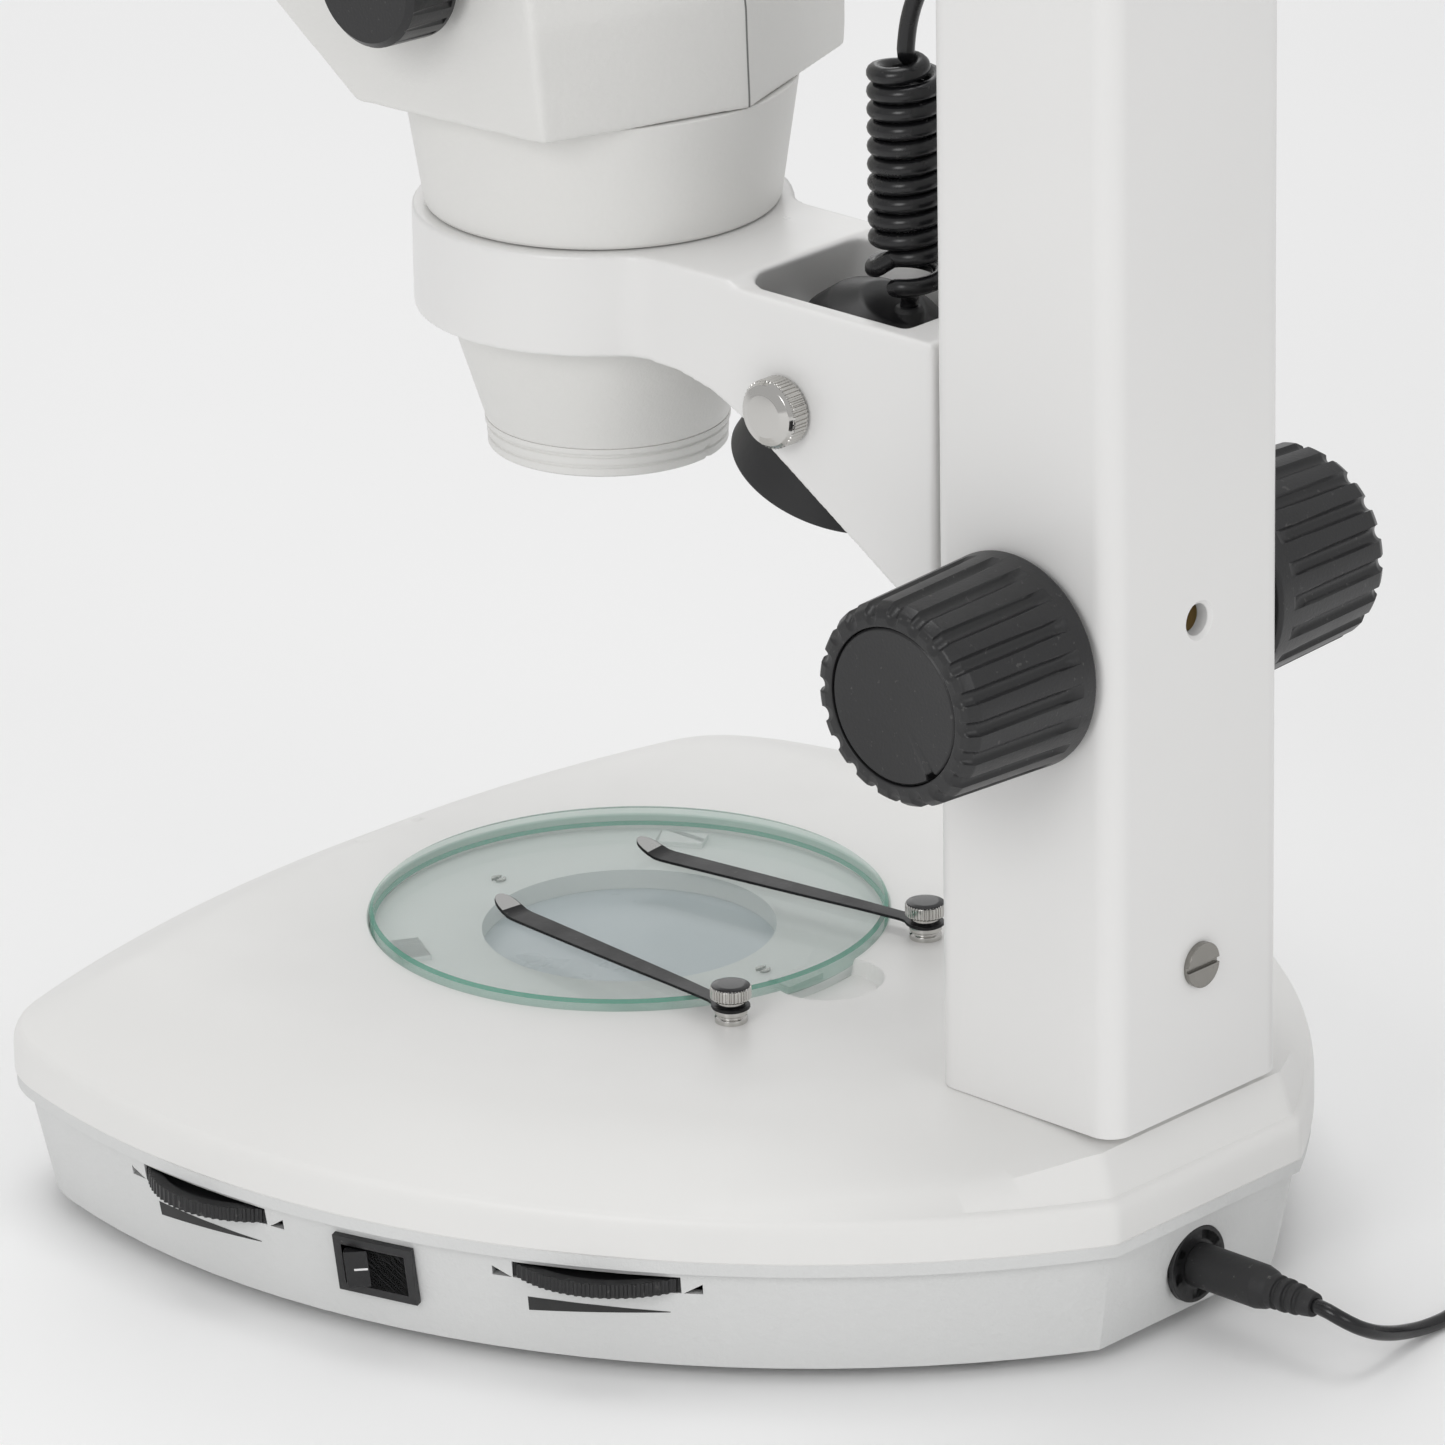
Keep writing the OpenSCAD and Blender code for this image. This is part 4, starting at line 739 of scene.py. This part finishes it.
# Clip thumbscrews and posts
CLIP_X = 34
CLIP_Y = 65.5
for side in (1, -1):
    base_z = PLATEAU
    place = move(CLIP_X * side, CLIP_Y, 0)
    head = fillet([(0, base_z + 4.7), (3.6, base_z + 4.7), (3.6, base_z + 5.7), (4.5, base_z + 5.8),
                   (4.9, base_z + 6.2), (4.9, base_z + 8.7), (4.5, base_z + 9.1), (4.05, base_z + 9.1),
                   (3.95, base_z + 8.7), (0, base_z + 8.6)], [0, 0.1, 0.1, 0.1, 0.2, 0.2, 0.1, 0.1, 0.1, 0], 2)
    verts, faces = lathe(head, 216, knurled(36, 0.28, 0.4))
    name = "thumbscrew_" + ("right" if side > 0 else "left")
    add(name + "_v", verts, faces, BODY_OF[name], "nickel", (name,), place=place, angle=40)
    top = fillet([(0, base_z + 8.8), (4.6, base_z + 8.8), (4.6, base_z + 9.15), (3.2, base_z + 9.4),
                  (0, base_z + 9.5)], [0, 0, 0.3, 0.5, 0], 3)
    add(name + "_top", *lathe(top, 64), BODY_OF[name], "black_gloss", place=place)
    post = fillet([(0, base_z - 2), (2.5, base_z - 2), (2.5, base_z), (3.9, base_z), (3.9, base_z + 1.2),
                   (3.4, base_z + 1.5), (3.4, base_z + 1.9), (3.9, base_z + 2.2), (3.9, base_z + 3.2),
                   (1.5, base_z + 3.2), (1.5, base_z + 4.4), (0, base_z + 4.4)], 0.12, 2)
    add("post_" + ("right" if side > 0 else "left"), *lathe(post, 64), "base", "nickel",
        ("clip_posts",) if side > 0 else (), place=place)


def clip(side):
    """A blackened spring strip: round eye, a long taper and a lifted tip, made bright by a painted highlight: a
    narrower silver sheet laid on its top.
    """
    stations = [(-1.5, 4.35, 0), (-3, 3.6, 0), (-4.4, 2.5, 0), (-6, 2.15, 0), (-12, 2.2, 0), (-19, 2.4, 0),
                (-30, 2.65, -0.12), (-45, 2.9, -0.28), (-60, 3.1, -0.43), (-70, 3.2, -0.53), (-77, 3.2, -0.6),
                (-79, 3.2, -0.45), (-81, 3.15, 0.2), (-82.6, 3.0, 0.85), (-84, 2.6, 1.4), (-85, 2.0, 1.8),
                (-85.7, 1.1, 2.1), (-85.9, 0.4, 2.2)]
    t = 0.7
    eye = [(4.6 * math.sin(math.radians(a)), 4.6 * math.cos(math.radians(a)), 0) for a in range(-105, 106, 15)]
    left = [(-w, y, z) for y, w, z in stations[::-1]]
    right = [(w, y, z) for y, w, z in stations]
    plan = left + [(x, y, z) for x, y, z in eye] + right
    base_z = PLATEAU + 3.5
    lo = [(x, y, base_z + z) for x, y, z in plan]
    hi = [(x * 0.985, y, base_z + z + t) for x, y, z in plan]
    m = len(plan)
    k = len(stations)
    verts = lo + hi
    faces = [[i, (i + 1) % m, m + (i + 1) % m, m + i] for i in range(m)]
    for s, flip in ((0, False), (m, True)):
        for i in range(k - 1):
            f = [s + i, s + i + 1, s + m - 2 - i, s + m - 1 - i]
            faces.append(f[::-1] if flip else f)
        e = list(range(s + k - 1, s + m - k + 1))
        faces.append(e[::-1] if flip else e)
    place = move(CLIP_X * side, CLIP_Y, 0) @ rot("Z", -6.4 * side)
    name = "clip_" + ("right" if side > 0 else "left")
    add(name + "_v", verts, faces, BODY_OF[name], "black_steel", (name,), place=place, angle=50, bevel=0.12,
        seg=2)
    # Painted highlight: a narrower silver sheet just above the top face of the lifted tip.
    tip = [(x, y, z) for y, x, z in stations[-6:]]
    tv = [(-x * 0.9, y, base_z + z + t + 0.02) for x, y, z in tip] + \
         [(x * 0.9, y, base_z + z + t + 0.02) for x, y, z in tip[::-1]]
    h = len(tip)
    tf = [[i, i + 1, 2 * h - 2 - i, 2 * h - 1 - i] for i in range(h - 1)]
    add(name + "_tip", tv, tf, BODY_OF[name], "clip_tip_painted_highlight", place=place)


clip(1)
clip(-1)

# DC plug: barrel, stepped strain relief
plug = fillet([(0, 0), (5.2, 0), (5.3, 0.4), (5.3, 19), (4.7, 21.5), (4.1, 22.6), (4.1, 24.4), (3.3, 24.6),
               (3.3, 25.6), (4.0, 25.8), (4.0, 27.4), (3.1, 27.6), (3.1, 28.6), (3.7, 28.8), (3.7, 30.4),
               (2.9, 30.6), (2.9, 31.6), (3.3, 31.8), (2.8, 35), (0, 35)], 0.35, 3)
add("plug_v", *lathe(plug, 72), "base", "rubber", ("dc_plug",), place=move(0, 180.5, 16) @ rot("X", -90))
socket = fillet([(5.4, 0), (5.4, 1.1), (6.0, 1.6), (8.5, 1.6), (9.3, 0.9), (9.3, 0), (5.4, 0)],
                [0, 0.2, 0.2, 0.5, 0.4, 0, 0], 3)
add("socket_flange", *lathe(socket, 96), "base", "black_plastic", place=move(0, 178.9, 16) @ rot("X", -90))

# Printed marks: a tapering wedge under each wheel, a line and a ring on the rocker
def side_frame(angle, inward, z, lean=0.0):
    """The right side wall's own axes: outwards, along the wall to the rear, up."""
    return move(-ARC_X, ARC_Y, 0) @ rot("Z", angle) @ move(ARC_R - inward, 0, z) @ rot("Y", lean)


WALL_LEAN = math.degrees(math.atan(4.8 / 26))


def wall_point(angle, z):
    """On the tray's leaning wall, by the angle round the side arc and the height."""
    r = ARC_R - 2.8 - 4.8 * (29.5 - z) / 26 + 0.05
    return (-ARC_X + r * math.cos(math.radians(angle)), ARC_Y + r * math.sin(math.radians(angle)), z)


for name, middle in (("front", 0.5), ("rear", 28.2)):
    cols = 24
    verts, faces = [], []
    for k in range(cols + 1):
        f = k / cols
        a = middle - 4.4 + 8.9 * f
        verts += [wall_point(a, 18.5 - 0.5 * f), wall_point(a, 14.8 + 3.0 * f)]
    for k in range(cols):
        faces.append([2 * k, 2 * k + 1, 2 * k + 3, 2 * k + 2])
    add("wedge_" + name, verts, faces, "base", "mark_black", angle=30)

rocker_at = side_frame(13.8, 2.8 + 4.8 * (29.5 - 19.5) / 26, 19.5, WALL_LEAN) @ move(-1.5, 0, 0) @ rot("Z", 11)
rise = math.degrees(math.atan(2.0 / 7.4))
for sign in (-1, 1):
    face = rocker_at @ move(2.2, 0, 0) @ rot("Z", -sign * rise) @ move(0.04, sign * 4.0, 0)
    if sign < 0:
        bar = [(0, -1.6, -0.28), (0, 1.6, -0.28), (0, 1.6, 0.28), (0, -1.6, 0.28)]
        add("mark_on", bar, [[0, 1, 2, 3]], "rocker", "mark_white", place=face)
    else:
        ringv, ringf = [], []
        for k in range(40):
            a = 2 * math.pi * k / 40
            for r in (1.15, 1.6):
                ringv.append((0, r * 0.85 * math.cos(a), r * math.sin(a)))
        for k in range(40):
            j = (k + 1) % 40
            ringf.append([2 * k, 2 * j, 2 * j + 1, 2 * k + 1])
        add("mark_off", ringv, ringf, "rocker", "mark_white", place=face)

# ---------------------------------------------------------------- refined CAD nodes
refine("dc_socket", "black_plastic", 0.2)
refine("base_tray", "tray_grey", 0.0, angle=24)
refine("column", "column_paint", 0.0, angle=20)
refine("column_cap", "column_paint", 1.2, 3, angle=20)
cast("arm_casting", ("arm",), "arm_paint", 0.7, 13)
cast("housing", ("head_shell_right", "head_shell_left"), "housing_plastic", 0.9, 14)
refine("well_ring", "well_grey", 0.3)
for node, mat, edge in (
        ("switch_bezel", "black_plastic", 0.5), ("switch_rocker", "black_gloss", 0.5),
        ("eyepiece_tube_right", "head_plastic", 1.2), ("eyepiece_tube_left", "head_plastic", 1.2),
        ("diopter_ring", "black_plastic", 0.15), ("carriage", "aluminium", 0.4),
        ("eyepiece_right", "black_plastic", 0.15), ("eyepiece_left", "black_plastic", 0.15),
        ("cord_gland", "rubber", 0.4), ("ring_screw", "nickel", 0.15), ("rubber_feet", "rubber", 0.4),
        ("bottom_cover", "cover_grey", 0.2), ("base_screws", "steel", 0.15), ("arm_screws", "steel", 0.2)):
    refine(node, mat, edge)

for node in frame["nodes"]:
    o = frame["nodes"][node]
    o.data.materials.clear()
    o.data.materials.append(MAT[SLOT_OF[node]])
    if not o.hide_render:
        smooth(o.data, 32)

# ---------------------------------------------------------------- floor, light
floor_m, ft, fp = nodes_of("floor")
ft.links.new(mixed(ft, spread(ft, noise(ft, 3, 3), 0, 1), (0.945, 0.945, 0.945), (0.96, 0.96, 0.96)),
             fp.inputs["Base Color"])
fp.inputs["Roughness"].default_value = 0.7
fm = bpy.data.meshes.new("floor")
fm.from_pydata([(-9, -9, 0), (9, -9, 0), (9, 9, 0), (-9, 9, 0)], [], [(0, 1, 2, 3)])
fm.materials.append(floor_m)
floor = bpy.data.objects.new("floor", fm)
floor.location.z = -0.0002
bpy.context.collection.objects.link(floor)


def area(name, place, aim, size, power, color=(1, 1, 1)):
    lamp = bpy.data.lights.new(name, "AREA")
    lamp.shape, lamp.size, lamp.energy, lamp.color = "SQUARE", size, power, color
    o = bpy.data.objects.new(name, lamp)
    o.location = place
    o.rotation_euler = (Vector(aim) - Vector(place)).to_track_quat("-Z", "Y").to_euler()
    bpy.context.collection.objects.link(o)


area("key", (2.4, 0.6, 1.5), (0, 0, 0.15), 1.1, 15)
area("rear", (0.4, 2.6, 1.4), (0, 0, 0.15), 1.2, 8)
area("top", (-0.2, -0.3, 2.4), (0, 0, 0.1), 1.2, 12)
area("front", (-1.6, -2.0, 1.2), (0, 0, 0.2), 1.5, 5)
world = bpy.data.worlds.new("studio")
bpy.context.scene.world = world
world.use_nodes = True
world.node_tree.nodes["Background"].inputs["Color"].default_value = (1, 1, 1, 1)
world.node_tree.nodes["Background"].inputs["Strength"].default_value = 0.58
bpy.context.scene.view_settings.view_transform = "Standard"
